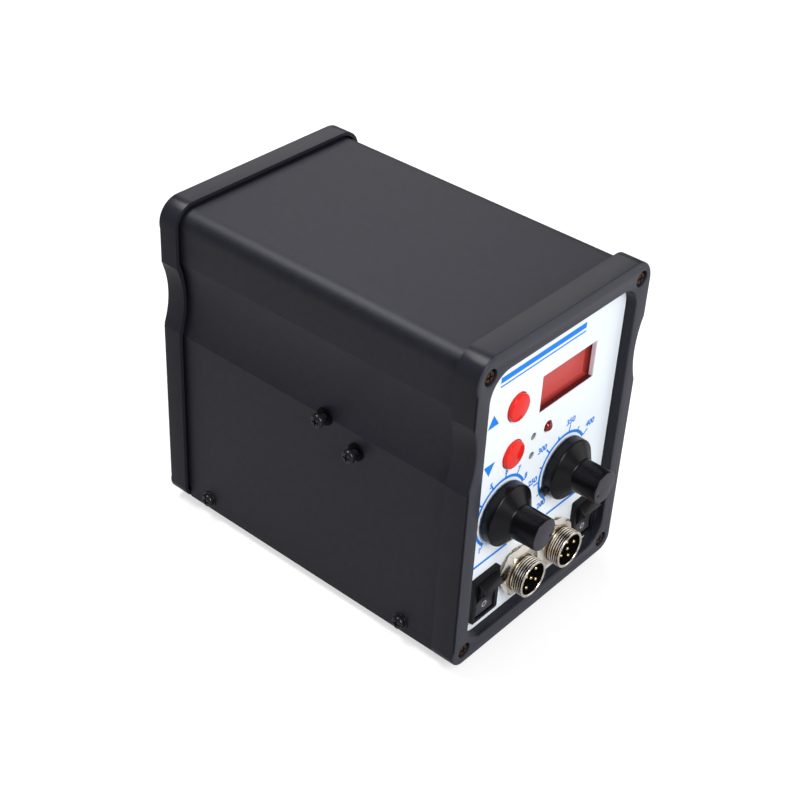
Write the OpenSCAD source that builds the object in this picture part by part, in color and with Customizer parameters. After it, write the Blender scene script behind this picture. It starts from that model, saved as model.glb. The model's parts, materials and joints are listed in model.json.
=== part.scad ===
// Two-channel hot air and soldering station: a steel case between two moulded bezels, with a recessed
// control panel. The origin is on the table under the middle of the case. X is to the right seen from
// the front, Y runs to the rear and Z is up. Panel features are placed from the middle of the case in X
// and from the lower edge of the bezels in Z. All lengths are in millimetres.

/* [Case] */
// Width over the bezels
case_w = 100; // [90:1:125]
// Height of the bezels
case_h = 136; // [130:1:170]
// Depth over both bezels
case_d = 152; // [150:1:190]
// Height of the bezels' lower edge above the table
foot_gap = 3; // [1:0.5:8]
// Thickness of the cover and base sheets
sheet_t = 1; // [0.8:0.1:1.4]
// Distance from the bezels' outline to the face of the cover
cover_inset = 2.4; // [2:0.1:3]
// Half the height of the long groove in each side of the cover
cover_groove_half = 16.3; // [12:0.1:20]
// Depth of the groove
cover_groove_depth = 2.9; // [1.5:0.1:3.4]
// Height of the groove's middle
groove_z = 96.3; // [70:0.1:110]
// Height of the base plate's turned-up sides
flange_h = 13.6; // [10:0.1:20]

/* [Bezels] */
// Depth of the front bezel
front_bezel_d = 10.4; // [9:0.1:16]
// Depth of the rear bezel
rear_bezel_d = 9.2; // [8:0.1:16]
// Thickness of the skirt round the cover's end
skirt_t = 1.5; // [1.2:0.1:1.8]
// Radius of the upper corners
top_r = 9.4; // [6:0.1:12]
// Radius of the lower corners
low_r = 6; // [4.5:0.1:8]
// Width of the frame beside the window
window_side = 7.2; // [7:0.1:10]
// Height of the frame under the window
window_low = 7.3; // [7:0.1:10]
// Height of the frame over the window
window_high = 8.6; // [8:0.1:12]
// Radius of the window's corners
window_r = 10; // [6:0.1:12]
// Radius of a bezel's rounded outer edge
edge_r = 0.8; // [0.6:0.1:1.5]
// Depth of the printed panel behind the front face
panel_recess = 4.5; // [3.5:0.1:5.5]
// Depth of the rear panel behind the rear face
rear_recess = 3.5; // [3:0.1:5]
// Width of a cooling slot in the rear panel
vent_w = 5; // [4:0.1:5.5]
// Length of an upper cooling slot
vent_l = 24; // [16:1:30]
// Distance from the case's top to the upper slots
vent_top = 20; // [18:1:26]
// Half the height of the finger scoop in each side
scoop_half = 14.25; // [8:0.05:18]
// Depth of the finger scoop
scoop_depth = 2.9; // [1:0.1:3]
// Height of a front bezel corner screw over the bezels' lower edge
corner_low_z = 6.3; // [6:0.1:8]
// Distance of the upper corner screws from the top
corner_high_z = 7.4; // [7:0.1:9]
// Distance of the corner screws from the sides
corner_side = 6.4; // [6:0.1:8]

/* [Panel] */
// Thickness of the printed overlay
label_t = 0.3; // [0.2:0.05:0.5]
// Thickness of the steel panels
panel_t = 1.5; // [1:0.1:2]
// Length of the panels' turned foot
panel_foot = 18; // [12:1:22]
// Distance from the front panel to the control board
board_gap = 11; // [10:0.5:14]
// Thickness of the circuit boards
board_t = 1.6; // [1:0.1:2]

/* [Display] */
// Middle of the display window in X
display_x = 10.5; // [5:0.1:15]
// Middle of the display window in Z
display_z = 100.3; // [95:0.1:104]
// Width of the display window
display_w = 32.4; // [28:0.1:36]
// Height of the display window
display_h = 15.8; // [12:0.1:17]
// Depth of the tray's face behind the overlay
tray_depth = 4.5; // [4:0.1:5]
// Thickness of the tray's walls
tray_t = 1; // [0.8:0.1:1.5]
// Width of the tray's rim against the panel
tray_rim = 2.6; // [2:0.1:3.5]

/* [Buttons and lamp] */
// Middle of the two buttons in X
button_x = -19.6; // [-22:0.1:-16]
// Height of the upper button
button_up_z = 102.5; // [98:0.1:108]
// Height of the lower button
button_down_z = 82; // [78:0.1:86]
// Radius of a button
button_r = 5.5; // [4:0.1:6.5]
// How far a button stands out of the overlay
button_proud = 1.9; // [1:0.1:2.5]
// How far a button travels
button_travel = 0.5; // [0.2:0.1:0.8]
// Middle of the lamp in X
led_x = 1.1; // [0:0.1:3]
// Height of the lamp and the upper trimmer
led_z = 83.2; // [80:0.1:86]
// Radius of the lamp
led_r = 2.2; // [1.5:0.1:2.5]
// How far the lamp stands out of the overlay
led_proud = 1.5; // [1:0.1:3]
// Middle of the trimmer holes in X
trimmer_x = -7.5; // [-9:0.1:-6]
// Height of the lower trimmer
trimmer_low_z = 74.6; // [73:0.1:75.6]
// Radius of the trimmer holes
trimmer_hole_r = 1.5; // [1:0.1:1.8]

/* [Knobs] */
// Middle of the left knob in X
knob_left_x = -23.4; // [-26:0.1:-20]
// Middle of the right knob in X
knob_right_x = 13.6; // [10:0.1:18]
// Height of both knobs
knob_z = 58.7; // [56:0.1:60]
// Radius of a knob's skirt
knob_skirt_r = 12.5; // [11:0.1:14]
// Height of the skirt's straight edge
knob_skirt_h = 5; // [4.4:0.1:6]
// Radius of a knob's grip
knob_grip_r = 6.6; // [5.8:0.1:8]
// Height of a knob over the overlay
knob_h = 19.8; // [16:0.1:24]
// Gap under a knob
knob_gap = 0.8; // [0.4:0.1:1.5]
// Direction in which the left knob points at rest, from +X towards +Z
knob_left_angle = -31; // [-45:1:225]
// Direction in which the right knob points at rest
knob_right_angle = 200; // [-45:1:225]
// Radius of a potentiometer's shaft
shaft_r = 3; // [2:0.1:3.2]
// Radius of a potentiometer's body
pot_r = 8.5; // [8:0.1:9.5]
// Depth of a potentiometer's body
pot_d = 9; // [7:0.1:10.5]

/* [Rocker switches] */
// Distance of the left rocker from the middle
rocker_left_x = -29.4; // [-34:0.1:-26]
// Distance of the right rocker from the middle
rocker_right_x = 32.8; // [26:0.1:34]
// Height of the rockers' middle
rocker_z = 22.8; // [20:0.1:26]
// Width of a rocker's frame
rocker_w = 15; // [14:0.1:16]
// Height of a rocker's frame
rocker_h = 20.8; // [19:0.1:22]
// How far the frame stands out of the overlay
rocker_frame_t = 1.9; // [1.5:0.1:2.5]
// Angle between a rocker's two positions
rocker_throw = 34; // [20:1:36]
// Height of a paddle's hollow over its pivot
rocker_hollow = 3.3; // [2.6:0.1:3.6]
// Depth of the housing behind the panel
rocker_d = 13; // [12:0.5:18]

/* [Connectors] */
// Middle of the left connector in X
conn_left_x = -11.6; // [-13:0.1:-10.5]
// Middle of the right connector in X
conn_right_x = 11.5; // [10:0.1:13]
// Height of both connectors
conn_z = 24.1; // [22:0.1:27]
// Radius of the threaded shell
conn_r = 7.7; // [7:0.1:8]
// Thickness of the shell's wall
conn_wall = 1.1; // [0.8:0.1:1.5]
// How far the shell stands out of the overlay
conn_proud = 10.2; // [9:0.1:12]
// How much thinner the shell is behind its free thread, in radius
conn_relief = 0.25; // [0.2:0.05:0.4]
// Width across the flats of the fixing nut
conn_nut_af = 17.6; // [17:0.1:17.8]
// Thickness of the nut
conn_nut_t = 3.2; // [2:0.1:4]
// Thickness of the toothed washer under the nut
conn_washer_t = 1.2; // [0.6:0.1:1.5]
// Radius of a contact pin
contact_r = 0.75; // [0.5:0.05:0.9]
// Radius of the circle of contacts
contact_ring_r = 4.1; // [3.5:0.1:4.6]

/* [Mains inlet] */
// Middle of the inlet in X
inlet_x = 14; // [-18:1:18]
// Height of the inlet's middle
inlet_z = 62; // [56:1:90]
// Width of the inlet's flange
inlet_w = 50; // [48:1:54]
// Height of the inlet's flange
inlet_h = 33; // [32:1:38]
// Distance between the two fixing screws
inlet_pitch = 40; // [38:1:43]
// How far the fuse drawer pulls out
drawer_travel = 16; // [8:1:18]

/* [Transformer and power board] */
// Width of the transformer's core
core_w = 57; // [48:1:60]
// Stack of the core's sheets
core_stack = 28; // [20:1:32]
// Middle of the transformer in X
core_x = -6; // [-8:1:4]
// Distance of the transformer's middle from the front face
core_y = 66; // [60:1:68]
// Width of the power board
power_w = 78; // [70:1:80]
// Length of the power board
power_l = 42; // [36:1:44]
// Height of the stand-offs under the power board
standoff_h = 8; // [5:1:12]

/* [Feet and screws] */
// Radius of a foot
foot_r = 7; // [5:0.1:8]
// Distance of the feet from the ends of the case
foot_end = 20; // [18:1:30]
// Distance of the feet from the sides of the case
foot_side = 14; // [13:1:24]
// Radius of the screws' thread
screw_r = 1.5; // [1.2:0.1:1.7]
// Radius of a pan head
head_r = 2.8; // [2.4:0.1:3]
// Height of a pan head
head_h = 2; // [1.4:0.1:2.4]
// Distance of the front side screws from the front face
side_front_y = 27.7; // [24:0.1:36]
// Distance of the rear side screws from the front face
side_rear_y = 130.9; // [110:0.1:160]
// Height of the side screws
side_z = 5.7; // [5.5:0.1:9]
// Distance of the upper holder screw from the front face
holder_up_y = 68.4; // [50:0.1:90]
// Height of the upper holder screw
holder_up_z = 80.1; // [60:0.1:82]
// Distance of the lower holder screw from the front face
holder_down_y = 52.9; // [40:0.1:80]
// Height of the lower holder screw
holder_down_z = 72.2; // [50:0.1:76]
// How far the holder screws stand out of the cover
holder_proud = 5.4; // [3:0.1:8]

/* [Hidden] */
$fn = 72;

// Fits
run_gap = 0.05;    // radial clearance of a shaft or a thread
fit_gap = 0.2;     // clearance between pieces that are put together
move_gap = 0.3;    // clearance round a moving piece
sheet_gap = 0.1;   // clearance between nested sheets

// Main planes
bezel_z = foot_gap;
top_z = bezel_z + case_h;
front_y = -case_d / 2;
rear_y = case_d / 2;
label_y = front_y + panel_recess;
panel_y = label_y + label_t;
panel_back = panel_y + panel_t;
board_y = panel_back + board_gap;
board_back = board_y + board_t;
rear_panel_y = rear_y - rear_recess;
rear_panel_front = rear_panel_y - panel_t;
cover_x = case_w / 2 - cover_inset;
cover_front = panel_y + 0.4;
cover_rear = rear_panel_y - 0.4;
base_z = bezel_z + cover_inset;
base_top = base_z + sheet_t;
base_half = cover_x - sheet_t - sheet_gap;
panel_inset = cover_inset + sheet_t;

// Groove and scoop circles
function arc_r(half, depth) = (half * half + depth * depth) / (2 * depth);
groove_r = arc_r(cover_groove_half, cover_groove_depth);
groove_x = cover_x - cover_groove_depth + groove_r;
scoop_r = arc_r(scoop_half, scoop_depth);
scoop_x = case_w / 2 - scoop_depth + scoop_r;

// Points on an arc, from one angle to another
function arc(cx, cy, r, from, to, steps = 6) =
    [for (i = [0:steps]) let (a = from + (to - from) * i / steps) [cx + r * cos(a), cy + r * sin(a)]];

// Places that repeat
corner_places = [
    [-1, bezel_z + corner_low_z], [1, bezel_z + corner_low_z],
    [-1, top_z - corner_high_z], [1, top_z - corner_high_z]
];
corner_x = case_w / 2 - corner_side;
knob_xs = [knob_left_x, knob_right_x];
rocker_xs = [rocker_left_x, rocker_right_x];
conn_xs = [conn_left_x, conn_right_x];
conn_turns = [176, 43];
contact_turns = [51.5, 106];
button_zs = [button_up_z, button_down_z];
trimmer_zs = [led_z, trimmer_low_z];
foot_xs = [-case_w / 2 + foot_side, case_w / 2 - foot_side];
foot_ys = [front_y + foot_end, rear_y - foot_end];
side_ys = [front_y + side_front_y, front_y + side_rear_y];
holder_places = [
    [front_y + holder_up_y, bezel_z + holder_up_z], [front_y + holder_down_y, bezel_z + holder_down_z]
];
rivet_xs = [-26, 26];

// A rod along Y from y0 to y1
module rod(x, z, y0, y1, r, r2 = undef) {
    translate([x, y0, z])
        rotate([-90, 0, 0])
            cylinder(h = y1 - y0, r1 = r, r2 = is_undef(r2) ? r : r2);
}

// A rod along X from x0 to x1
module cross_rod(y, z, x0, x1, r) {
    translate([x0, y, z])
        rotate([0, 90, 0])
            cylinder(h = x1 - x0, r = r);
}

// An upright plate between y0 and y1, drawn in X and Z
module slab(y0, y1) {
    translate([0, y1, 0])
        rotate([90, 0, 0])
            linear_extrude(y1 - y0)
                children();
}

// A turned piece round an axis along Y, drawn as radius and distance to the front of y0
module turned(x, z, y0) {
    translate([x, y0, z])
        rotate([90, 0, 0])
            rotate_extrude()
                children();
}

// A box between two corners
module block(low, high) {
    translate(low)
        cube(high - low);
}

// A rectangle with round corners, the lower and upper pairs apart
module round_rect(x0, x1, z0, z1, r_low, r_high) {
    translate([x0, z0 + r_low])
        square([x1 - x0, z1 - z0 - r_low - r_high]);
    translate([x0 + r_low, z0])
        square([x1 - x0 - 2 * r_low, r_low + 0.01]);
    translate([x0 + r_high, z1 - r_high - 0.01])
        square([x1 - x0 - 2 * r_high, r_high + 0.01]);
    for (x = [x0 + r_low, x1 - r_low])
        translate([x, z0 + r_low])
            circle(r_low);
    for (x = [x0 + r_high, x1 - r_high])
        translate([x, z1 - r_high])
            circle(r_high);
}

// The case's outline, moved in by inset
module case_outline(inset = 0) {
    half = case_w / 2 - inset;
    round_rect(-half, half, bezel_z + inset, top_z - inset, max(low_r - inset, 0.6), max(top_r - inset, 0.6));
}

// The sheet body's outline with its side grooves, moved in by inset
module body_outline(inset) {
    difference() {
        case_outline(inset);
        for (s = [-1, 1])
            translate([s * groove_x, bezel_z + groove_z])
                circle(r = groove_r + inset - cover_inset, $fn = 180);
    }
}

// The window in a bezel, moved out by grow
module window_outline(grow = 0) {
    half = case_w / 2 - window_side + grow;
    round_rect(-half, half, bezel_z + window_low - grow, top_z - window_high + grow, window_r, window_r);
}

// Case

// A block of the case's outline between y = 0 and depth, with its outer edge rounded at y = 0
module rounded_outline(depth) {
    half = case_w / 2;
    slab(edge_r, depth)
        case_outline();
    slab(0, edge_r + 0.1)
        case_outline(edge_r);
    for (s = [-1, 1]) {
        translate([s * (half - edge_r), edge_r, bezel_z + low_r])
            cylinder(h = case_h - low_r - top_r, r = edge_r);
        turned(s * (half - low_r), bezel_z + low_r, edge_r)
            edge_section(low_r);
        turned(s * (half - top_r), top_z - top_r, edge_r)
            edge_section(top_r);
    }
    cross_rod(edge_r, bezel_z + edge_r, -half + low_r, half - low_r, edge_r);
    cross_rod(edge_r, top_z - edge_r, -half + top_r, half - top_r, edge_r);
}

// Section of the rounding at a corner of the given radius
module edge_section(corner_r) {
    translate([corner_r - edge_r, 0])
        circle(r = edge_r);
}

// Cutter for a scoop, which flares out at y = 0 to round the edge
module scoop_cutter(depth) {
    turned(0, 0, 0)
        difference() {
            translate([0, -depth])
                square([scoop_r + edge_r, depth + 0.5]);
            translate([scoop_r, -depth - 1])
                square([edge_r + 1, depth + 1 - edge_r]);
            translate([scoop_r + edge_r, -edge_r])
                circle(r = edge_r, $fn = 32);
        }
}

// One bezel from the outer face to its skirt, as seen from outside, with its face at y = 0
module bezel(depth, wall) {
    head_depth = wall - 2.4;
    difference() {
        rounded_outline(depth);
        for (s = [-1, 1])
            translate([s * scoop_x, 0, bezel_z + groove_z])
                scoop_cutter(depth + 1, $fn = 180);
        slab(wall, depth + 1)
            body_outline(skirt_t);
        slab(-1, wall + 1)
            window_outline();
        for (p = corner_places) {
            rod(p[0] * corner_x, p[1], -1, wall + 1, screw_r + fit_gap);
            rod(p[0] * corner_x, p[1], -1, head_depth, head_r + 0.5);
        }
    }
    // Ribs that steady the cover's end inside the skirt
    for (x = [-26, 0, 26])
        block([x - 0.6, wall - 0.09, top_z - cover_inset + fit_gap],
            [x + 0.6, depth - 1.5, top_z - skirt_t + 0.1]);
}

module front_bezel() {
    color("#46464a")
        translate([0, front_y, 0])
            bezel(front_bezel_d, panel_recess + label_t);
}

module rear_bezel() {
    color("#46464a")
        translate([0, rear_y, 0])
            mirror([0, 1, 0])
                bezel(rear_bezel_d, rear_recess);
}

module top_cover() {
    low = bezel_z + 1;
    color("#3c3c40")
        difference() {
            slab(cover_front, cover_rear)
                difference() {
                    body_outline(cover_inset);
                    body_outline(cover_inset + sheet_t);
                    translate([-case_w, bezel_z - 1])
                        square([2 * case_w, 6.4]);
                }
            for (s = [-1, 1])
                for (y = side_ys)
                    cross_rod(y, bezel_z + side_z, s * cover_x - 3, s * cover_x + 3, screw_r + fit_gap);
            for (p = holder_places)
                cross_rod(p[0], p[1], -cover_x - 1, -cover_x + 5, holder_barrel_r + fit_gap / 2);
        }
    // The sides reach lower between the bezels
    color("#3c3c40")
        for (s = [-1, 1])
            difference() {
                block([s > 0 ? cover_x - sheet_t : -cover_x, front_y + front_bezel_d + 0.6, low],
                    [s > 0 ? cover_x : -cover_x + sheet_t, rear_y - rear_bezel_d - 0.6, bezel_z + 5.41]);
                for (y = side_ys)
                    cross_rod(y, bezel_z + side_z, s * cover_x - 3, s * cover_x + 3, screw_r + fit_gap);
            }
}

module base_plate() {
    side_low_y = front_y + front_bezel_d + 1;
    side_high_y = rear_y - rear_bezel_d - 1;
    core_mid_y = front_y + core_y;
    color("#3c3c40")
        difference() {
            union() {
                block([-base_half, side_low_y, base_z], [base_half, side_high_y, base_top]);
                block([-base_half + 3, panel_y, base_z], [base_half - 3, rear_panel_y, base_top]);
                for (s = [-1, 1])
                    block([s > 0 ? base_half - sheet_t : -base_half, side_low_y, base_z],
                        [s > 0 ? base_half : -base_half + sheet_t, side_high_y, base_z + flange_h]);
            }
            for (s = [-1, 1])
                for (y = side_ys)
                    cross_rod(y, bezel_z + side_z, s * base_half - 3, s * base_half + 3, screw_r + run_gap);
            for (x = foot_xs)
                for (y = foot_ys)
                    translate([x, y, base_z - 1])
                        cylinder(h = 4, r = screw_r + run_gap);
            for (p = rivet_places())
                translate([p[0], p[1], base_z - 1])
                    cylinder(h = 4, r = rivet_r + run_gap);
            for (p = standoff_places())
                translate([p[0], p[1], base_z - 1])
                    cylinder(h = 4, r = screw_r + run_gap);
            for (s = [-1, 1])
                translate([core_x + s * bracket_hole_x, core_mid_y, base_z - 1])
                    cylinder(h = 4, r = screw_r + run_gap);
            // Air slots under the transformer
            for (i = [-3:3])
                block([core_x - 20, core_mid_y + i * 7 - 1.5, base_z - 1],
                    [core_x + 20, core_mid_y + i * 7 + 1.5, base_top + 1]);
        }
}

holder_barrel_r = 2.6;
rivet_r = 1.6;
rivet_head_r = 3;
rivet_head_h = 0.8;
bracket_t = 1;
bracket_foot = 9;
bracket_hole_x = core_w / 2 + bracket_t + bracket_foot / 2;

function rivet_places() =
    [for (x = rivet_xs) for (y = [panel_back + panel_foot / 2, rear_panel_front - panel_foot / 2]) [x, y]];

power_y0 = front_y + core_y + core_stack / 2 + core_w / 6 + 3;
power_z = base_top + standoff_h;

function standoff_places() =
    [for (s = [-1, 1]) for (y = [power_y0 + 4, power_y0 + power_l - 14]) [s * (power_w / 2 - 4), y]];

// A steel panel with a foot turned inwards, drawn with its outer face at y = 0
module steel_panel() {
    difference() {
        union() {
            slab(0, panel_t)
                body_outline(panel_inset + fit_gap);
            block([-panel_foot_half, 0, base_top], [panel_foot_half, panel_t, base_top + 6]);
            block([-panel_foot_half, 0, base_top],
                [panel_foot_half, panel_t + panel_foot, base_top + panel_t]);
            for (p = corner_places)
                rod(p[0] * corner_x, p[1], 0, panel_t + 2, screw_r + 0.7);
        }
        for (p = corner_places)
            rod(p[0] * corner_x, p[1], -1, panel_t + 3, screw_r + run_gap);
        for (x = rivet_xs)
            translate([x, panel_t + panel_foot / 2, base_top - 1])
                cylinder(h = 5, r = rivet_r + run_gap);
    }
}
panel_foot_half = 30;

// Holes that the overlay and the front panel share, each grown by grow
module panel_holes(grow) {
    translate([display_x - display_w / 2 - grow, bezel_z + display_z - display_h / 2 - grow])
        square([display_w + 2 * grow, display_h + 2 * grow]);
    for (z = button_zs)
        translate([button_x, bezel_z + z])
            circle(button_r + move_gap + grow);
    translate([led_x, bezel_z + led_z])
        circle(led_r + fit_gap + grow);
    for (z = trimmer_zs)
        translate([trimmer_x, bezel_z + z])
            circle(trimmer_hole_r + grow);
    for (x = knob_xs)
        translate([x, bezel_z + knob_z])
            circle(bushing_r + 0.1 + grow);
    for (x = rocker_xs)
        translate([x - rocker_body_w / 2 - fit_gap - grow,
            bezel_z + rocker_z - rocker_body_h / 2 - fit_gap - grow])
            square([rocker_body_w + 2 * fit_gap + 2 * grow, rocker_body_h + 2 * fit_gap + 2 * grow]);
    for (x = conn_xs)
        translate([x, bezel_z + conn_z])
            circle(conn_r + 0.1 + grow);
}
bushing_r = 3.5;
rocker_body_w = rocker_w - 2;
rocker_body_h = rocker_h - 1.6;

module front_panel() {
    color("#e2e5e8")
        difference() {
            translate([0, panel_y, 0])
                steel_panel();
            slab(panel_y - 1, panel_back + 1)
                panel_holes(0);
            for (p = spacer_places())
                rod(p[0], p[1], panel_y + 0.6, panel_back + 1, 1.6);
        }
}

function spacer_places() =
    [for (x = [-34, 34]) for (z = [73.5, 108.5]) [x, bezel_z + z]];

module front_label() {
    color("#eef2f8")
        slab(label_y, panel_y)
            difference() {
                window_outline(-0.15);
                panel_holes(0.05);
            }
}

module rear_panel() {
    slot_pitch = 2 * vent_w;
    vent_end_r = vent_w / 2 - 0.01;
    color("#3c3c40")
        difference() {
            translate([0, rear_panel_y, 0])
                mirror([0, 1, 0])
                    steel_panel();
            // Opening for the inlet and its two screws
            slab(rear_panel_front - 1, rear_panel_y + 1)
                translate([inlet_x - inlet_body_w / 2 - fit_gap,
                    bezel_z + inlet_z - inlet_body_h / 2 - fit_gap])
                    square([inlet_body_w + 2 * fit_gap, inlet_body_h + 2 * fit_gap]);
            for (x = inlet_screw_xs)
                rod(x, bezel_z + inlet_z, rear_panel_front - 1, rear_panel_y + 1, screw_r + fit_gap);
            // A bank of cooling slots over the inlet and one under it
            for (i = [-3:3])
                for (z = [[top_z - vent_top - vent_l, top_z - vent_top], [bezel_z + 16, bezel_z + 34]])
                    slab(rear_panel_front - 1, rear_panel_y + 1)
                        translate([i * slot_pitch, 0])
                            round_rect(-vent_w / 2, vent_w / 2, z[0], z[1], vent_end_r, vent_end_r);
        }
}

// A pan head screw along Y, head to the front, with the underside of the head at y = 0
module pan_screw(length, r = screw_r, head = head_r, height = head_h) {
    cross = head * 0.62;
    difference() {
        union() {
            turned(0, 0, 0)
                polygon(concat([[0, 0], [head, 0], [head, height * 0.35]],
                    arc(head - height * 0.65, height * 0.35, height * 0.65, 0, 90, 4), [[0, height]]));
            rod(0, 0, -0.01, length, r);
        }
        for (t = [0, 90])
            rotate([0, t, 0])
                block([-cross, -height - 1, -0.35], [cross, -height * 0.35, 0.35]);
    }
}

module front_screws() {
    color("#b08d57")
        for (p = corner_places)
            translate([p[0] * corner_x, front_y + panel_recess + label_t - 2.4, p[1]])
                pan_screw(10);
}

module rear_screws() {
    color("#b08d57")
        for (p = corner_places)
            translate([p[0] * corner_x, rear_y - rear_recess + 2.4, p[1]])
                rotate([0, 0, 180])
                    pan_screw(9);
}

module side_screws() {
    color("#222224")
        for (s = [-1, 1])
            for (y = side_ys)
                translate([s * (cover_x + 0.5), y, bezel_z + side_z])
                    rotate([0, 0, s * 90])
                        pan_screw(8);
}

module side_washers() {
    color("#1c1c1e")
        for (s = [-1, 1])
            for (y = side_ys)
                difference() {
                    cross_rod(y, bezel_z + side_z, s > 0 ? cover_x : -cover_x - 0.5,
                        s > 0 ? cover_x + 0.5 : -cover_x, 3.5);
                    cross_rod(y, bezel_z + side_z, s * cover_x - 2, s * cover_x + 2, screw_r + 0.15);
                }
}

module holder_screws() {
    color("#222224")
        for (p = holder_places)
            translate([-cover_x - holder_proud + head_h, p[0], p[1]])
                rotate([0, 0, -90])
                    pan_screw(holder_proud - head_h + 9);
}

// Threaded inserts that are set in the cover, with a thin flange outside
module holder_nuts() {
    color("#2a2a2c")
        for (p = holder_places)
            difference() {
                union() {
                    cross_rod(p[0], p[1], -cover_x, -cover_x + 8, holder_barrel_r);
                    cross_rod(p[0], p[1], -cover_x - 0.5, -cover_x, holder_barrel_r + 1);
                }
                cross_rod(p[0], p[1], -cover_x - 1, -cover_x + 9, screw_r + run_gap);
            }
}

module panel_rivets() {
    color("#a8aaae")
        for (p = rivet_places())
            translate([p[0], p[1], 0]) {
                translate([0, 0, base_z])
                    cylinder(h = sheet_t + panel_t, r = rivet_r);
                translate([0, 0, base_z - rivet_head_h])
                    cylinder(h = rivet_head_h, r1 = rivet_head_r - 0.6, r2 = rivet_head_r);
                translate([0, 0, base_top + panel_t])
                    cylinder(h = rivet_head_h, r1 = rivet_head_r - 0.6, r2 = rivet_head_r - 1);
            }
}

module feet() {
    color("#1b1b1c")
        for (x = foot_xs)
            for (y = foot_ys)
                translate([x, y, 0])
                    difference() {
                        cylinder(h = base_z, r1 = foot_r - 0.8, r2 = foot_r);
                        translate([0, 0, -1])
                            cylinder(h = 3.6, r = head_r + 0.5);
                        translate([0, 0, -1])
                            cylinder(h = base_z + 2, r = screw_r + fit_gap);
                    }
}

module foot_screws() {
    color("#8d9095")
        for (x = foot_xs)
            for (y = foot_ys)
                translate([x, y, 2.6])
                    rotate([90, 0, 0])
                        pan_screw(base_top - 2.6 + 3, screw_r, head_r, 1.7);
}

// Display

// Red tray behind the window, flush with its sides and with a rim against the panel
module display_lens() {
    low = [display_x - display_w / 2, bezel_z + display_z - display_h / 2];
    high = [display_x + display_w / 2, bezel_z + display_z + display_h / 2];
    face = label_y + tray_depth;
    color("#8e1f22")
        difference() {
            union() {
                block([low[0] - tray_t, panel_back, low[1] - tray_t],
                    [high[0] + tray_t, face + tray_t, high[1] + tray_t]);
                block([low[0] - tray_rim, panel_back, low[1] - tray_rim],
                    [high[0] + tray_rim, panel_back + 1, high[1] + tray_rim]);
            }
            block([low[0], panel_back - 1, low[1]], [high[0], face, high[1]]);
        }
}

module display_module() {
    front = label_y + tray_depth + tray_t + 0.3;
    color("#2b1717")
        block([display_x - 16, front, bezel_z + display_z - 7],
            [display_x + 14, board_y, bezel_z + display_z + 7]);
}

module control_board() {
    color("#1f5a36")
        difference() {
            slab(board_y, board_back)
                translate([-38, bezel_z + 69])
                    square([76, 44]);
            for (p = spacer_places())
                rod(p[0], p[1], board_y - 1, board_back + 1, 1.6);
        }
}

module board_fasteners() {
    color("#c8a85a")
        for (p = spacer_places()) {
            difference() {
                union() {
                    rod(p[0], p[1], panel_back, board_y, 3);
                    rod(p[0], p[1], panel_y + 0.7, panel_back + 0.1, 1.5);
                }
                rod(p[0], p[1], panel_back + 3, board_y + 1, 1.3);
            }
            translate([p[0], board_back, p[1]])
                rotate([0, 0, 180])
                    pan_screw(board_t + 5, 1.25, 2.5, 1.6);
        }
}

// Buttons and lamp

plunger_r = 1.75;
plunger_tip = board_y - 5;
switch_front = board_y - 3.5;

// A cap with a domed face, a flange behind the panel and a stem to the switch
module button(z) {
    front = label_y - button_proud;
    back = panel_back + 1.1;
    edge = 0.6;
    rim_r = button_r - edge * (1 - cos(70));
    dome = 0.5;
    color("#d8382c")
        union() {
            difference() {
                turned(button_x, bezel_z + z, back)
                    polygon(concat([[0, 0], [button_r + 1.2, 0], [button_r + 1.2, 1], [button_r, 1]],
                        arc(button_r - edge, back - front - dome - edge * sin(70), edge, 0, 70, 4),
                        [for (i = [1:6]) let (u = 1 - i / 6) [rim_r * u, back - front - dome * u * u]]));
                rod(button_x, bezel_z + z, front + 2.2, panel_back + 2, button_r - 1.3);
            }
            rod(button_x, bezel_z + z, front + 2, plunger_tip, 1.6);
        }
}

module button_up() button(button_up_z);

module button_down() button(button_down_z);

module plunger(z) {
    color("#26262a")
        rod(button_x, bezel_z + z, plunger_tip, switch_front + 0.8, plunger_r);
}

module plunger_up() plunger(button_up_z);

module plunger_down() plunger(button_down_z);

module switch_bodies() {
    color("#303034")
        for (z = button_zs)
            difference() {
                block([button_x - 3, switch_front, bezel_z + z - 3],
                    [button_x + 3, board_y, bezel_z + z + 3]);
                rod(button_x, bezel_z + z, switch_front - 1, switch_front + 0.9 + button_travel,
                    plunger_r + run_gap);
            }
}

led_lead_x = 1.27;

module heater_led() {
    base = panel_back + 3;
    front = label_y - led_proud;
    color("#8c1418")
        union() {
            turned(led_x, bezel_z + led_z, base)
                polygon(concat([[0, 0], [led_r + 0.4, 0], [led_r + 0.4, 1], [led_r, 1]],
                    arc(0, base - front - led_r, led_r, 0, 90, 8)));
            for (s = [-1, 1])
                rod(led_x + s * led_lead_x, bezel_z + led_z, base - 0.1, board_y, 0.3);
        }
}

module led_spacer() {
    base = panel_back + 3;
    color("#e8e4d8")
        difference() {
            rod(led_x, bezel_z + led_z, base, board_y, led_r + 0.6);
            for (s = [-1, 1])
                rod(led_x + s * led_lead_x, bezel_z + led_z, base - 1, board_y + 1, 0.4);
        }
}

trimmer_half = 3.3;
trimmer_front = board_y - 4.6;
trimmer_rotor_r = 2.2;

module trimmer_bodies() {
    color("#2f5fa8")
        for (z = trimmer_zs)
            difference() {
                block([trimmer_x - trimmer_half, trimmer_front, bezel_z + z - trimmer_half],
                    [trimmer_x + trimmer_half, board_y, bezel_z + z + trimmer_half]);
                rod(trimmer_x, bezel_z + z, trimmer_front - 1, trimmer_front + 2, trimmer_rotor_r + run_gap);
            }
}

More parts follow.
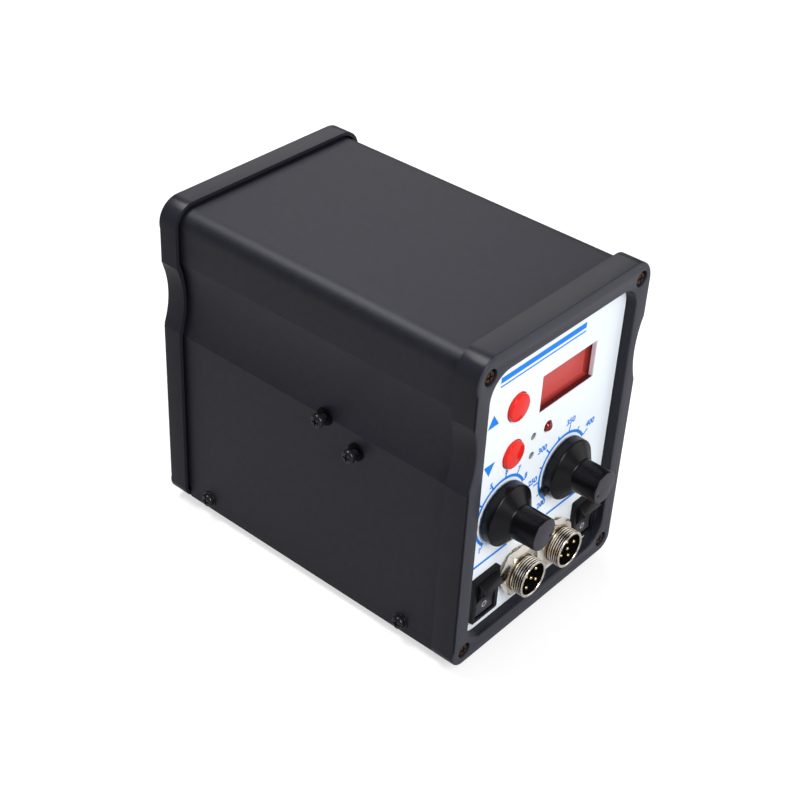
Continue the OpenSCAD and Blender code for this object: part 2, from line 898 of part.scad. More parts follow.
module trimmer_rotor(z) {
    color("#d9d9d6")
        difference() {
            rod(trimmer_x, bezel_z + z, trimmer_front - 0.4, trimmer_front + 1.9, trimmer_rotor_r);
            block([trimmer_x - 1.6, trimmer_front - 1, bezel_z + z - 0.3],
                [trimmer_x + 1.6, trimmer_front + 0.4, bezel_z + z + 0.3]);
        }
}

module trimmer_rotor_upper() trimmer_rotor(led_z);

module trimmer_rotor_lower() trimmer_rotor(trimmer_low_z);

// Knobs and potentiometers

bushing_h = 5;
pot_nut_af = 10;
pot_nut_t = 2.2;
pot_washer_t = 0.6;
shaft_top = knob_h - 3;
flat_x = shaft_r * 0.5;

module pot_bodies() {
    color("#9a9ca0")
        for (x = knob_xs)
            difference() {
                union() {
                    rod(x, bezel_z + knob_z, panel_back, panel_back + pot_d, pot_r);
                    rod(x, bezel_z + knob_z, label_y - bushing_h, panel_back + 1, bushing_r);
                }
                rod(x, bezel_z + knob_z, label_y - bushing_h - 1, panel_back + 2, shaft_r + run_gap);
                rod(x, bezel_z + knob_z, panel_back + 1.2, panel_back + pot_d - 1, pot_r - 1);
            }
}

module pot_nuts() {
    color("#c4c6c8")
        for (x = knob_xs)
            difference() {
                union() {
                    rod(x, bezel_z + knob_z, label_y - pot_washer_t, label_y, 6);
                    translate([x, label_y - pot_washer_t - pot_nut_t, bezel_z + knob_z])
                        rotate([-90, 0, 0])
                            cylinder(h = pot_nut_t, r = pot_nut_af / sqrt(3), $fn = 6);
                }
                rod(x, bezel_z + knob_z, label_y - bushing_h, label_y + 1, bushing_r + run_gap);
            }
}

// The shaft has a flat on the side that the knob points to
module shaft(x, angle) {
    color("#b4b6b8")
        translate([x, 0, bezel_z + knob_z])
            rotate([0, -angle, 0])
                difference() {
                    union() {
                        rod(0, 0, label_y - shaft_top, panel_back + 6, shaft_r);
                        rod(0, 0, panel_back + 3, panel_back + 6, pot_r - 2);
                    }
                    block([flat_x, label_y - shaft_top - 1, -5], [shaft_r + 1, label_y - bushing_h - 1.6, 5]);
                }
}

module shaft_left() shaft(knob_left_x, knob_left_angle);

module shaft_right() shaft(knob_right_x, knob_right_angle);

module knob(x, angle) {
    edge = 0.8;
    grip_base = 8.6;
    color("#2a2a2d")
        translate([x, 0, bezel_z + knob_z])
            rotate([0, -angle, 0])
                difference() {
                    union() {
                        turned(0, 0, label_y)
                            polygon(concat([[0, knob_gap], [knob_skirt_r, knob_gap]],
                                arc(knob_skirt_r - edge - 0.1, knob_skirt_h - edge, edge, 0, 58, 4),
                                arc(knob_grip_r + 1.1, grip_base + 0.9, 1, 238, 180, 4),
                                arc(knob_grip_r - 0.6, knob_h - 0.5, 0.5, 0, 90, 4),
                                [[0, knob_h]]));
                        // Pointer on the edge of the skirt
                        slab(label_y - knob_gap - 2.2, label_y - knob_gap)
                            polygon([[knob_skirt_r - 1.5, -1.7], [knob_skirt_r + 2, -1],
                                [knob_skirt_r + 2, 1], [knob_skirt_r - 1.5, 1.7]]);
                    }
                    // Room for the nut and the bushing
                    rod(0, 0, label_y - 4.2, label_y, 8.6);
                    rod(0, 0, label_y - bushing_h - 1, label_y, bushing_r + 0.6);
                    // Bore with a flat, and the dot that shows the pointer's side
                    difference() {
                        rod(0, 0, label_y - shaft_top - 0.3, label_y, shaft_r + 0.02);
                        block([flat_x + 0.02, label_y - shaft_top - 1, -5],
                            [shaft_r + 1, label_y - bushing_h - 1.6, 5]);
                    }
                    rod(4.4, 0, label_y - knob_h - 1, label_y - knob_h + 0.6, 0.6);
                }
}

module knob_left() knob(knob_left_x, knob_left_angle);

module knob_right() knob(knob_right_x, knob_right_angle);

// Rocker switches

rocker_inner_w = 11.1;
rocker_paddle_w = rocker_inner_w - 0.5;
rocker_end_r = 8.6;
rocker_pin_r = 1;
rocker_pivot_y = label_y + 1.2;
rocker_cavity = rocker_pivot_y + rocker_end_r + 0.4;

module rocker_housings() {
    mid = bezel_z + rocker_z;
    color("#232326")
        for (x = rocker_xs)
            difference() {
                union() {
                    slab(label_y - rocker_frame_t, label_y)
                        round_rect(x - rocker_w / 2, x + rocker_w / 2, mid - rocker_h / 2, mid + rocker_h / 2,
                            1, 1);
                    block([x - rocker_body_w / 2, label_y - 0.1, mid - rocker_body_h / 2],
                        [x + rocker_body_w / 2, panel_back + rocker_d, mid + rocker_body_h / 2]);
                }
                block([x - rocker_inner_w / 2, label_y - rocker_frame_t - 1, mid - rocker_end_r - move_gap],
                    [x + rocker_inner_w / 2, rocker_cavity, mid + rocker_end_r + move_gap]);
                cross_rod(rocker_pivot_y, mid, x - rocker_body_w / 2 - 1, x + rocker_body_w / 2 + 1,
                    rocker_pin_r + run_gap);
            }
}

// The paddle has round ends and a hollow face, and turns on two pins. At rest its lower end is pressed in.
module rocker(x) {
    face_r = 16;
    color("#1d1d20")
        translate([x, rocker_pivot_y, bezel_z + rocker_z])
            rotate([rocker_throw / 2, 0, 0])
                union() {
                    translate([-rocker_paddle_w / 2, 0, 0])
                        rotate([90, 0, 90])
                            linear_extrude(rocker_paddle_w)
                                difference() {
                                    intersection() {
                                        circle(rocker_end_r);
                                        translate([-rocker_end_r, -rocker_end_r])
                                            square([rocker_end_r + 3.5, 2 * rocker_end_r]);
                                    }
                                    translate([-rocker_hollow - face_r, 0])
                                        circle(face_r);
                                }
                    cross_rod(0, 0, -rocker_body_w / 2 + 0.1, rocker_body_w / 2 - 0.1, rocker_pin_r);
                }
}

module rocker_left() rocker(rocker_left_x);

module rocker_right() rocker(rocker_right_x);

module rocker_terminals() {
    color("#c9b27a")
        for (x = rocker_xs)
            for (dz = [-5, 5])
                block([x - 2.4, panel_back + rocker_d, bezel_z + rocker_z + dz - 0.4],
                    [x + 2.4, panel_back + rocker_d + 7, bezel_z + rocker_z + dz + 0.4]);
}

// Connectors

conn_neck_r = conn_r - conn_relief;
conn_bore_r = conn_r - conn_wall;
conn_nut_face = label_y - conn_washer_t - conn_nut_t;
conn_rear = panel_back + 9;
conn_floor = label_y - 1.5;

module connector_shells() {
    color("#c2bdb0")
        for (i = [0, 1])
            difference() {
                union() {
                    rod(conn_xs[i], bezel_z + conn_z, label_y - conn_proud, conn_nut_face - 0.1, conn_r);
                    rod(conn_xs[i], bezel_z + conn_z, conn_nut_face - 0.2, conn_rear, conn_neck_r);
                    rod(conn_xs[i], bezel_z + conn_z, panel_back, panel_back + 2, conn_r + 1.4);
                }
                rod(conn_xs[i], bezel_z + conn_z, label_y - conn_proud - 1, conn_rear + 1, conn_bore_r);
            }
}

module connector_nuts() {
    z = bezel_z + conn_z;
    washer_face = label_y - conn_washer_t;
    tip_r = conn_nut_af / sqrt(3);
    color("#cdc8ba")
        for (i = [0, 1])
            difference() {
                intersection() {
                    translate([conn_xs[i], conn_nut_face, z])
                        rotate([-90, 0, 0])
                            rotate([0, 0, -conn_turns[i]])
                                cylinder(h = conn_nut_t, r = tip_r, $fn = 6);
                    rod(conn_xs[i], z, conn_nut_face, washer_face, tip_r - 0.7, tip_r + 2);
                }
                rod(conn_xs[i], z, conn_nut_face - 1, washer_face + 1, conn_neck_r + run_gap);
            }
}

// Lock washers with teeth round their edge
module connector_washers() {
    teeth = 14;
    outer_r = conn_nut_af / 2 + 0.2;
    color("#b8b3a6")
        for (x = conn_xs)
            difference() {
                rod(x, bezel_z + conn_z, label_y - conn_washer_t, label_y, outer_r);
                rod(x, bezel_z + conn_z, label_y - conn_washer_t - 1, label_y + 1, conn_r + run_gap);
                for (i = [0:teeth - 1])
                    translate([x, 0, bezel_z + conn_z])
                        rotate([0, 360 * i / teeth, 0])
                            block([outer_r - 0.8, label_y - conn_washer_t - 1, -0.7],
                                [outer_r + 1, label_y + 1, 0.7]);
            }
}

function contact_places(i) = concat([[conn_xs[i], bezel_z + conn_z]],
    [for (k = [0:3]) let (a = contact_turns[i] + 90 * k)
        [conn_xs[i] + contact_ring_r * cos(a), bezel_z + conn_z + contact_ring_r * sin(a)]]);

module connector_inserts() {
    color("#1a1a1c")
        for (i = [0, 1])
            difference() {
                rod(conn_xs[i], bezel_z + conn_z, conn_floor, conn_rear - 1, conn_bore_r - 0.03);
                for (p = contact_places(i))
                    rod(p[0], p[1], conn_floor - 1, conn_rear + 1, contact_r + 0.03);
            }
}

module contact_pins() {
    color("#d9b36a")
        for (i = [0, 1])
            for (p = contact_places(i)) {
                rod(p[0], p[1], label_y - conn_proud + 0.7 + contact_r, conn_rear + 4, contact_r);
                translate([p[0], label_y - conn_proud + 0.7 + contact_r, p[1]])
                    sphere(contact_r);
            }
}

// Mains inlet

inlet_body_w = 28;
inlet_body_h = 31;
inlet_flange_t = 3;
inlet_d = 20;
socket_w = 24;
socket_h = 16;
socket_d = 15;
socket_z = inlet_z - 5;
drawer_w = 23;
drawer_h = 6;
drawer_half = drawer_w / 2;
drawer_mid = bezel_z + inlet_z + 9.5;
drawer_d = 17;

// Outline of the plug opening, with its two upper corners cut off
module socket_outline() {
    cut = 5;
    half_w = socket_w / 2;
    half_h = socket_h / 2;
    translate([inlet_x, bezel_z + socket_z])
        polygon([[-half_w, -half_h], [half_w, -half_h], [half_w, half_h - cut], [half_w - cut, half_h],
            [-half_w + cut, half_h], [-half_w, half_h - cut]]);
}

module inlet_body() {
    mid = bezel_z + inlet_z;
    face = rear_panel_y + inlet_flange_t;
    color("#202023")
        difference() {
            union() {
                slab(rear_panel_y, face)
                    round_rect(inlet_x - inlet_w / 2, inlet_x + inlet_w / 2, mid - inlet_h / 2,
                        mid + inlet_h / 2, 4, 4);
                block([inlet_x - inlet_body_w / 2, face - inlet_d, mid - inlet_body_h / 2],
                    [inlet_x + inlet_body_w / 2, rear_panel_y + 0.1, mid + inlet_body_h / 2]);
            }
            slab(face - socket_d, face + 1)
                socket_outline();
            block([inlet_x - drawer_half - fit_gap, face - drawer_d - 0.5,
                    drawer_mid - drawer_h / 2 - fit_gap],
                [inlet_x + drawer_half + fit_gap, face + 1, drawer_mid + drawer_h / 2 + fit_gap]);
            for (p = inlet_pin_places())
                block([p[0] - 1.05, face - inlet_d - 1, p[1] - 2.05], [p[0] + 1.05, face, p[1] + 2.05]);
            for (x = inlet_screw_xs) {
                rod(x, mid, rear_panel_y - 1, face + 1, screw_r + fit_gap);
                rod(x, mid, face - 1.4, face + 1, screw_r + fit_gap, head_r + 1.6);
            }
        }
}

inlet_screw_xs = [inlet_x - inlet_pitch / 2, inlet_x + inlet_pitch / 2];

function inlet_pin_places() =
    [for (p = [[-7, -2], [7, -2], [0, 2]]) [inlet_x + p[0], bezel_z + socket_z + p[1]]];

module inlet_pins() {
    face = rear_panel_y + inlet_flange_t;
    color("#c8ccd0")
        for (p = inlet_pin_places())
            block([p[0] - 1, face - inlet_d - 7, p[1] - 2], [p[0] + 1, face - 2.5, p[1] + 2]);
}

module inlet_fasteners() {
    face = rear_panel_y + inlet_flange_t;
    mid = bezel_z + inlet_z;
    color("#9a9da2")
        for (x = inlet_screw_xs) {
            // Countersunk screw
            rod(x, mid, rear_panel_front - 5, face - 1, screw_r);
            rod(x, mid, face - 1.3, face + 0.1, screw_r, head_r + 0.4);
            // Nut behind the panel
            difference() {
                translate([x, rear_panel_front - 2.4, mid])
                    rotate([-90, 0, 0])
                        cylinder(h = 2.4, r = 5.5 / sqrt(3), $fn = 6);
                rod(x, mid, rear_panel_front - 6, rear_panel_front + 1, screw_r + run_gap);
            }
        }
}

fuse_r = 2.6;
fuse_l = 20;
fuse_back = 12;
fuse_z = drawer_mid + 0.2;

module fuse_drawer() {
    face = rear_panel_y + inlet_flange_t;
    low = drawer_mid - drawer_h / 2;
    cradle_half = fuse_l / 2 + fit_gap;
    color("#2a2a2d")
        difference() {
            block([inlet_x - drawer_half, face - drawer_d, low],
                [inlet_x + drawer_half, face + 1, low + drawer_h]);
            // Cradle for the fuse, open at the top
            cross_rod(face - fuse_back, fuse_z, inlet_x - cradle_half, inlet_x + cradle_half, fuse_r + 0.05);
            block([inlet_x - cradle_half, face - fuse_back - fuse_r, fuse_z],
                [inlet_x + cradle_half, face - fuse_back + fuse_r, fuse_z + drawer_h]);
            // Slot for a fingernail
            block([inlet_x - 5, face - 1, low - 1], [inlet_x + 5, face + 0.4, low + 1.2]);
        }
}

module fuse() {
    face = rear_panel_y + inlet_flange_t;
    color("#d8dadc")
        union() {
            cross_rod(face - fuse_back, fuse_z, inlet_x - fuse_l / 2, inlet_x + fuse_l / 2, fuse_r - 0.2);
            for (s = [-1, 1])
                cross_rod(face - fuse_back, fuse_z, inlet_x + s * (fuse_l / 2 - 2.75) - 2.75,
                    inlet_x + s * (fuse_l / 2 - 2.75) + 2.75, fuse_r);
        }
}

// Transformer

core_leg = core_w / 6;
core_h = core_w * 5 / 6;
winding_gap = 0.3;

module transformer_core() {
    y = front_y + core_y;
    color("#5c5e62")
        slab(y - core_stack / 2, y + core_stack / 2)
            translate([core_x, base_top])
                difference() {
                    translate([-core_w / 2, 0])
                        square([core_w, core_h]);
                    for (s = [-1, 1])
                        translate([s * 1.5 * core_leg - core_leg / 2, core_leg])
                            square([core_leg, core_w / 2]);
                }
}

module transformer_winding() {
    y = front_y + core_y;
    out_x = 2 * core_leg - winding_gap;
    out_y = core_stack / 2 + core_leg - winding_gap;
    color("#d8b23a")
        translate([core_x, y, base_top + core_leg + winding_gap])
            linear_extrude(core_w / 2 - 2 * winding_gap)
                difference() {
                    round_rect(-out_x, out_x, -out_y, out_y, 4, 4);
                    translate([-core_leg - winding_gap, -core_stack / 2 - winding_gap])
                        square([2 * core_leg + 2 * winding_gap, core_stack + 2 * winding_gap]);
                }
}

module transformer_bracket() {
    y = front_y + core_y;
    half = core_w / 2;
    color("#a9abae")
        difference() {
            union() {
                slab(y - 10, y + 10)
                    translate([core_x, base_top])
                        difference() {
                            translate([-half - bracket_t, 0])
                                square([2 * half + 2 * bracket_t, core_h + bracket_t]);
                            translate([-half, -1])
                                square([2 * half, core_h + 1]);
                        }
                for (x = [core_x - half - bracket_t - bracket_foot, core_x + half + bracket_t - 0.1])
                    block([x, y - 10, base_top], [x + bracket_foot + 0.1, y + 10, base_top + bracket_t]);
            }
            for (s = [-1, 1])
                translate([core_x + s * bracket_hole_x, y, base_top - 1])
                    cylinder(h = 4, r = screw_r + fit_gap);
        }
}

// Power board

module power_board() {
    color("#2a6b3f")
        difference() {
            block([-power_w / 2, power_y0, power_z], [power_w / 2, power_y0 + power_l, power_z + board_t]);
            for (p = standoff_places())
                translate([p[0], p[1], power_z - 1])
                    cylinder(h = 4, r = screw_r + run_gap);
        }
}

module chassis_fasteners() {
    color("#b7b9bd") {
        for (p = standoff_places()) {
            difference() {
                translate([p[0], p[1], base_top])
                    cylinder(h = standoff_h, r = 5.5 / sqrt(3), $fn = 6);
                translate([p[0], p[1], base_top - 1])
                    cylinder(h = standoff_h + 2, r = screw_r + run_gap);
            }
            // Screws from above and below
            translate([p[0], p[1], power_z + board_t])
                rotate([-90, 0, 0])
                    pan_screw(board_t + standoff_h / 2 - 0.6, screw_r, head_r, 1.7);
            translate([p[0], p[1], base_z])
                rotate([90, 0, 0])
                    pan_screw(sheet_t + standoff_h / 2 - 0.6, screw_r, head_r, 1.7);
        }
        for (s = [-1, 1])
            translate([core_x + s * bracket_hole_x, front_y + core_y, base_top + bracket_t])
                rotate([-90, 0, 0])
                    pan_screw(5, screw_r, head_r, 1.7);
    }
}

board_top = power_z + board_t;

module capacitors() {
    color("#2b3f6b")
        for (p = [[-28, 15, 8, 26], [-26, 32, 5, 16], [-15, 32, 5, 16]])
            translate([p[0], power_y0 + p[1], board_top])
                difference() {
                    rotate_extrude()
                        polygon([[0, 0], [p[2] - 0.4, 0], [p[2], 0.5], [p[2], 1.8], [p[2] - 0.5, 2.3],
                            [p[2], 2.8], [p[2], p[3] - 0.6], [p[2] - 0.6, p[3]], [0, p[3]]]);
                    for (t = [0, 90])
                        rotate([0, 0, t])
                            block([-p[2] * 0.6, -0.25, p[3] - 0.3], [p[2] * 0.6, 0.25, p[3] + 1]);
                }
}

module relay() {
    color("#2b6db0")
        block([-6, power_y0 + 22, board_top], [13, power_y0 + 37, board_top + 15]);
}

module heatsink() {
    fins = 6;
    pitch = 6;
    length = 30;
    x = -10;
    y = power_y0 + 10;
    color("#b6b9bd")
        union() {
            block([x, y, board_top], [x + (fins - 1) * pitch + 1.5, y + 3, board_top + length]);
            for (i = [0:fins - 1])
                block([x + i * pitch, y - 8, board_top], [x + i * pitch + 1.5, y + 0.1, board_top + length]);
        }
}

module triac() {
    y = power_y0 + 13;
    color("#1f1f22")
        difference() {
            union() {
                block([2, y, board_top + 9], [12, y + 4.4, board_top + 18]);
                block([2, y, board_top + 17.9], [12, y + 1.3, board_top + 24]);
                for (dx = [-2.5, 0, 2.5])
                    block([7 + dx - 0.4, y + 2, board_top], [7 + dx + 0.4, y + 2.6, board_top + 9.1]);
            }
            rod(7, board_top + 21, y - 1, y + 3, 1.8);
        }
}

// A wire in straight runs with rounded bends
function unit(v) = v / norm(v);
function bend(a, b, c, reach = 9, steps = 2) =
    let (t = min(norm(a - b) * 0.45, norm(c - b) * 0.45, reach),
        from = b + t * unit(a - b),
        to = b + t * unit(c - b))
    [for (k = [0:steps]) let (u = k / steps) (1 - u) * (1 - u) * from + 2 * u * (1 - u) * b + u * u * to];
function smooth(p) =
    concat([p[0]], [for (i = [1:len(p) - 2]) each bend(p[i - 1], p[i], p[i + 1])], [p[len(p) - 1]]);

module wire(points, r) {
    sides = 6;
    route = smooth(points);
    n = len(route);
    rings = [
        for (i = [0:n - 1])
            let (dir = unit(route[min(i + 1, n - 1)] - route[max(i - 1, 0)]),
                u = unit(cross(dir, [1, 0.3, 0.2])),
                v = cross(dir, u))
                for (k = [0:sides - 1]) let (a = 360 * k / sides) route[i] + r * (cos(a) * u + sin(a) * v)
    ];
    walls = [
        for (i = [0:n - 2]) for (k = [0:sides - 1])
            let (a = i * sides + k, b = i * sides + (k + 1) % sides)
                each [[a, a + sides, b + sides], [a, b + sides, b]]
    ];
    ends = [[for (k = [0:sides - 1]) k], [for (k = [0:sides - 1]) n * sides - 1 - k]];
    polyhedron(points = rings, faces = concat(ends, walls), convexity = 6);
}

module wiring() {
    tip_y = rear_panel_y + inlet_flange_t - inlet_d - 7 - fit_gap;
    blade_y = panel_back + rocker_d + 7 + fit_gap;
    cup_y = conn_rear + 4 + fit_gap;
    core_mid_y = front_y + core_y;
    winding_end = core_stack / 2 + core_leg + fit_gap;
    over_z = base_top + core_h + 12;
    mid_y = core_mid_y + 30;
    pad_z = board_top + fit_gap;
    pins = inlet_pin_places();
    lead_order = [[0, 1, -2, -1, 2], [0, -1, -2, 1, 2]];
    color("#7a2a2a") {
        // Mains from the inlet over the transformer to the two switches
        for (i = [0, 1]) {
            x = rocker_xs[i];
            z = bezel_z + rocker_z + 5;
            out_x = x * 1.05;
            wire([[x, blade_y, z], [x, blade_y + 6, z], [out_x, blade_y + 9, z + 25],
                [out_x, core_mid_y - 10, over_z], [pins[i][0], mid_y, over_z],
                [pins[i][0], tip_y - 8, pins[i][1]], [pins[i][0], tip_y, pins[i][1]]], 1.1);
        }
        // Earth lead from the inlet to the screw beside it
        wire([[pins[2][0], tip_y, pins[2][1]], [pins[2][0], tip_y - 6, pins[2][1]],
            [inlet_x + inlet_pitch / 2, tip_y, bezel_z + inlet_z],
            [inlet_x + inlet_pitch / 2, rear_panel_front - 5 - fit_gap, bezel_z + inlet_z]], 1.1);
        // From the left switch to the power board and from the right one to the transformer
        low = bezel_z + rocker_z - 5;
        wire([[rocker_left_x, blade_y, low], [rocker_left_x, blade_y + 6, low],
            [-power_w / 2, core_mid_y - 24, low - 5], [-power_w / 2, power_y0 - 8, low],
            [-30, power_y0 + 2.6, low + 3], [-30, power_y0 + 2.6, pad_z]], 1.1);
        wire([[rocker_right_x, blade_y, low], [rocker_right_x, blade_y + 6, low], [20, blade_y + 8, low + 10],
            [core_x + 10, core_mid_y - winding_end - 6, base_top + 32],
            [core_x + 10, core_mid_y - winding_end, base_top + 32]], 1.1);
        // Leads from the connectors to the control board
        for (i = [0, 1])
            for (k = [0:4]) {
                q = contact_places(i)[k];
                x = conn_xs[i] + 2.6 * lead_order[i][k];
                wire([[q[0], cup_y, q[1]], [q[0], cup_y + 3.5, q[1]], [x, cup_y + 6, bezel_z + 50],
                    [x, board_back + 6, bezel_z + 76], [x, board_back + fit_gap, bezel_z + 76]], 0.6);
            }
        // Secondary leads from the transformer to the power board
        for (dx = [0, 4])
            wire([[core_x - 11 - dx, core_mid_y + winding_end, base_top + 32],
                [core_x - 11 - dx, core_mid_y + winding_end + 4, base_top + 32],
                [core_x - 14 - dx, power_y0 + 2.8, pad_z + 8],
                [core_x - 14 - dx, power_y0 + 2.8, pad_z]], 0.9);
        // Leads from the power board to the control board
        for (dx = [0, 2.4, 4.8])
            wire([[25.5 + dx, power_y0 + 4, pad_z], [25.5 + dx, power_y0 + 4, pad_z + 10],
                [25.5 + dx, core_mid_y - 26, base_top + 42], [25.5 + dx, board_back + 8, bezel_z + 84],
                [25.5 + dx, board_back + fit_gap, bezel_z + 84]], 0.7);
    }
}

front_bezel();
rear_bezel();
top_cover();
base_plate();
front_panel();
rear_panel();
front_label();
front_screws();
rear_screws();
side_screws();
side_washers();
holder_screws();
holder_nuts();
panel_rivets();
feet();
foot_screws();
display_lens();
display_module();
control_board();
board_fasteners();
button_up();
button_down();
switch_bodies();
plunger_up();
plunger_down();
heater_led();
led_spacer();
trimmer_bodies();
trimmer_rotor_upper();
trimmer_rotor_lower();
pot_bodies();
pot_nuts();
shaft_left();
shaft_right();
knob_left();
knob_right();
rocker_housings();
rocker_left();
rocker_right();
rocker_terminals();
connector_shells();
connector_nuts();
connector_washers();
connector_inserts();
contact_pins();
inlet_body();
inlet_pins();
inlet_fasteners();
fuse_drawer();
fuse();
transformer_core();
transformer_winding();
transformer_bracket();
power_board();
chassis_fasteners();
capacitors();
relay();
heatsink();
triac();
wiring();
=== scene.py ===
import json
import math

import bpy
from mathutils import Matrix, Vector

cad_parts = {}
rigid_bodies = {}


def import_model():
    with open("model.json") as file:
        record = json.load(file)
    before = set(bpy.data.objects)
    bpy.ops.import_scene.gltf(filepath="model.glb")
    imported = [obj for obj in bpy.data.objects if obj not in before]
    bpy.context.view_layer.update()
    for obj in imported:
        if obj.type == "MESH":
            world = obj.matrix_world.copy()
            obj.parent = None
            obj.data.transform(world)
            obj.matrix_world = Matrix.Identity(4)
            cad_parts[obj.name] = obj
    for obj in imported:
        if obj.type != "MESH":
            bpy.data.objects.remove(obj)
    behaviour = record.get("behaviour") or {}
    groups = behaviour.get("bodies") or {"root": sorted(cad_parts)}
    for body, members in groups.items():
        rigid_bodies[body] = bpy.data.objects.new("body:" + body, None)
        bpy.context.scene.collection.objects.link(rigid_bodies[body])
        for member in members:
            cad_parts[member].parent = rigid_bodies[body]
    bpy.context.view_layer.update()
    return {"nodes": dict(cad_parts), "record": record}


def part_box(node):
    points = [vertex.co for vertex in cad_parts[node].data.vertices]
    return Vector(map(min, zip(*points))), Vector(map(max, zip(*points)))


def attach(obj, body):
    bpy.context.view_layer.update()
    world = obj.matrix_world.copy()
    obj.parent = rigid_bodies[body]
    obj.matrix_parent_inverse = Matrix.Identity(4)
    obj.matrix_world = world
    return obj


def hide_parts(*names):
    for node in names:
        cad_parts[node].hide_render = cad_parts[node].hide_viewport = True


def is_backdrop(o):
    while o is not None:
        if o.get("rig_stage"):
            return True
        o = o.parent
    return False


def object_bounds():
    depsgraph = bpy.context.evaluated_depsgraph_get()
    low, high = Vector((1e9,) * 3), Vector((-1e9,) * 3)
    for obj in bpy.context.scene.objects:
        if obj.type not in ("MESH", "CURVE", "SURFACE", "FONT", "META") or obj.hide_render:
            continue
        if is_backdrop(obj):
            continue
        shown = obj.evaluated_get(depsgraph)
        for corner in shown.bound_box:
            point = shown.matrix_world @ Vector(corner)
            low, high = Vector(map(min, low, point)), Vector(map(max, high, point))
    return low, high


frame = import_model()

nodes = frame["nodes"]
mm = 0.001

# Places that the frame gives
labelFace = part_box("front_label")[0].y  # the printed face that the controls stand on
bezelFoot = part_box("front_bezel")[0].z  # the lower edge of both bezels
windowFoot = bezelFoot + 92.4 * mm  # the window's lower edge
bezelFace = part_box("front_bezel")[0].y  # the flat front of the bezel, painted lighter than its sides as painted light
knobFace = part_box("knob_left")[0].y  # the flat front ends of both knobs


def fromPanel(x, z, out=0.0):
    # A place in mm: across, above the bezel's foot, and out from the label
    return Vector((x * mm, labelFace - out * mm, bezelFoot + z * mm))


# Camera

# Place, lens and sensor in millimetres, turn in degrees, clip in metres
camera = {
    "place": (-388.485, -318.374, 422.192),
    "turn": (54.328, -2.723, -49.012),
    "lens": 71.22,
    "sensor": 36,
    "clip": (0.01, 50),
}
bpy.ops.object.select_all(action="DESELECT")
bpy.ops.object.camera_add(location=[c * mm for c in camera["place"]],
                          rotation=[math.radians(a) for a in camera["turn"]])
lens = bpy.context.object.data
lens.lens = camera["lens"]
lens.sensor_width = camera["sensor"]
lens.clip_start, lens.clip_end = camera["clip"]
bpy.context.scene.camera = bpy.context.object


# Small tools

def toLinear(hexCode, alpha=1.0):
    channels = [int(hexCode[i:i + 2], 16) / 255 for i in (1, 3, 5)]
    return [c / 12.92 if c <= 0.04045 else ((c + 0.055) / 1.055) ** 2.4 for c in channels] + [alpha]


def addNode(tree, kind, settings=None, links=None):
    node = tree.nodes.new(kind)
    for key, value in (settings or {}).items():
        if isinstance(key, str) and hasattr(node, key):
            setattr(node, key, value)
        else:
            node.inputs[key].default_value = value
    for key, source in (links or {}).items():
        tree.links.new(source, node.inputs[key])
    return node


def perMm(size):
    return 1 / (size * mm)  # a pattern of this many millimetres, as a texture scale


def only(*pieces):
    bpy.ops.object.select_all(action="DESELECT")
    for piece in pieces:
        piece.select_set(True)
    bpy.context.view_layer.objects.active = pieces[0]


def settle(piece):
    only(piece)
    bpy.ops.object.transform_apply(location=True, rotation=True, scale=True)
    return piece


# Finishes

def startMaterial(name):
    material = bpy.data.materials.new(name)
    material.use_nodes = True
    tree = material.node_tree
    tree.nodes.clear()
    place = addNode(tree, "ShaderNodeTexCoord").outputs["Object"]
    return material, tree, place


def ramp(tree, value, start, end, toStart=0.0, toEnd=1.0):
    limits = {"From Min": start, "From Max": end, "To Min": toStart, "To Max": toEnd}
    return addNode(tree, "ShaderNodeMapRange", limits, {"Value": value}).outputs["Result"]


def mixTones(tree, share, first, second):
    # The second colour takes over as the share grows; each is a fixed colour or another node's output
    fixed, linked = {"data_type": "RGBA"}, {0: share}
    for socket, tone in ((6, first), (7, second)):
        (fixed if isinstance(tone, list) else linked)[socket] = tone
    return addNode(tree, "ShaderNodeMix", fixed, linked).outputs[2]


waveUnit = math.pi / 10  # scale at which a wave texture's band is one unit wide
hollowShare = (0.15, 0.65)  # heights of the wave between which a hollow's colour gives way to the crest's
reliefStrength = 0.5


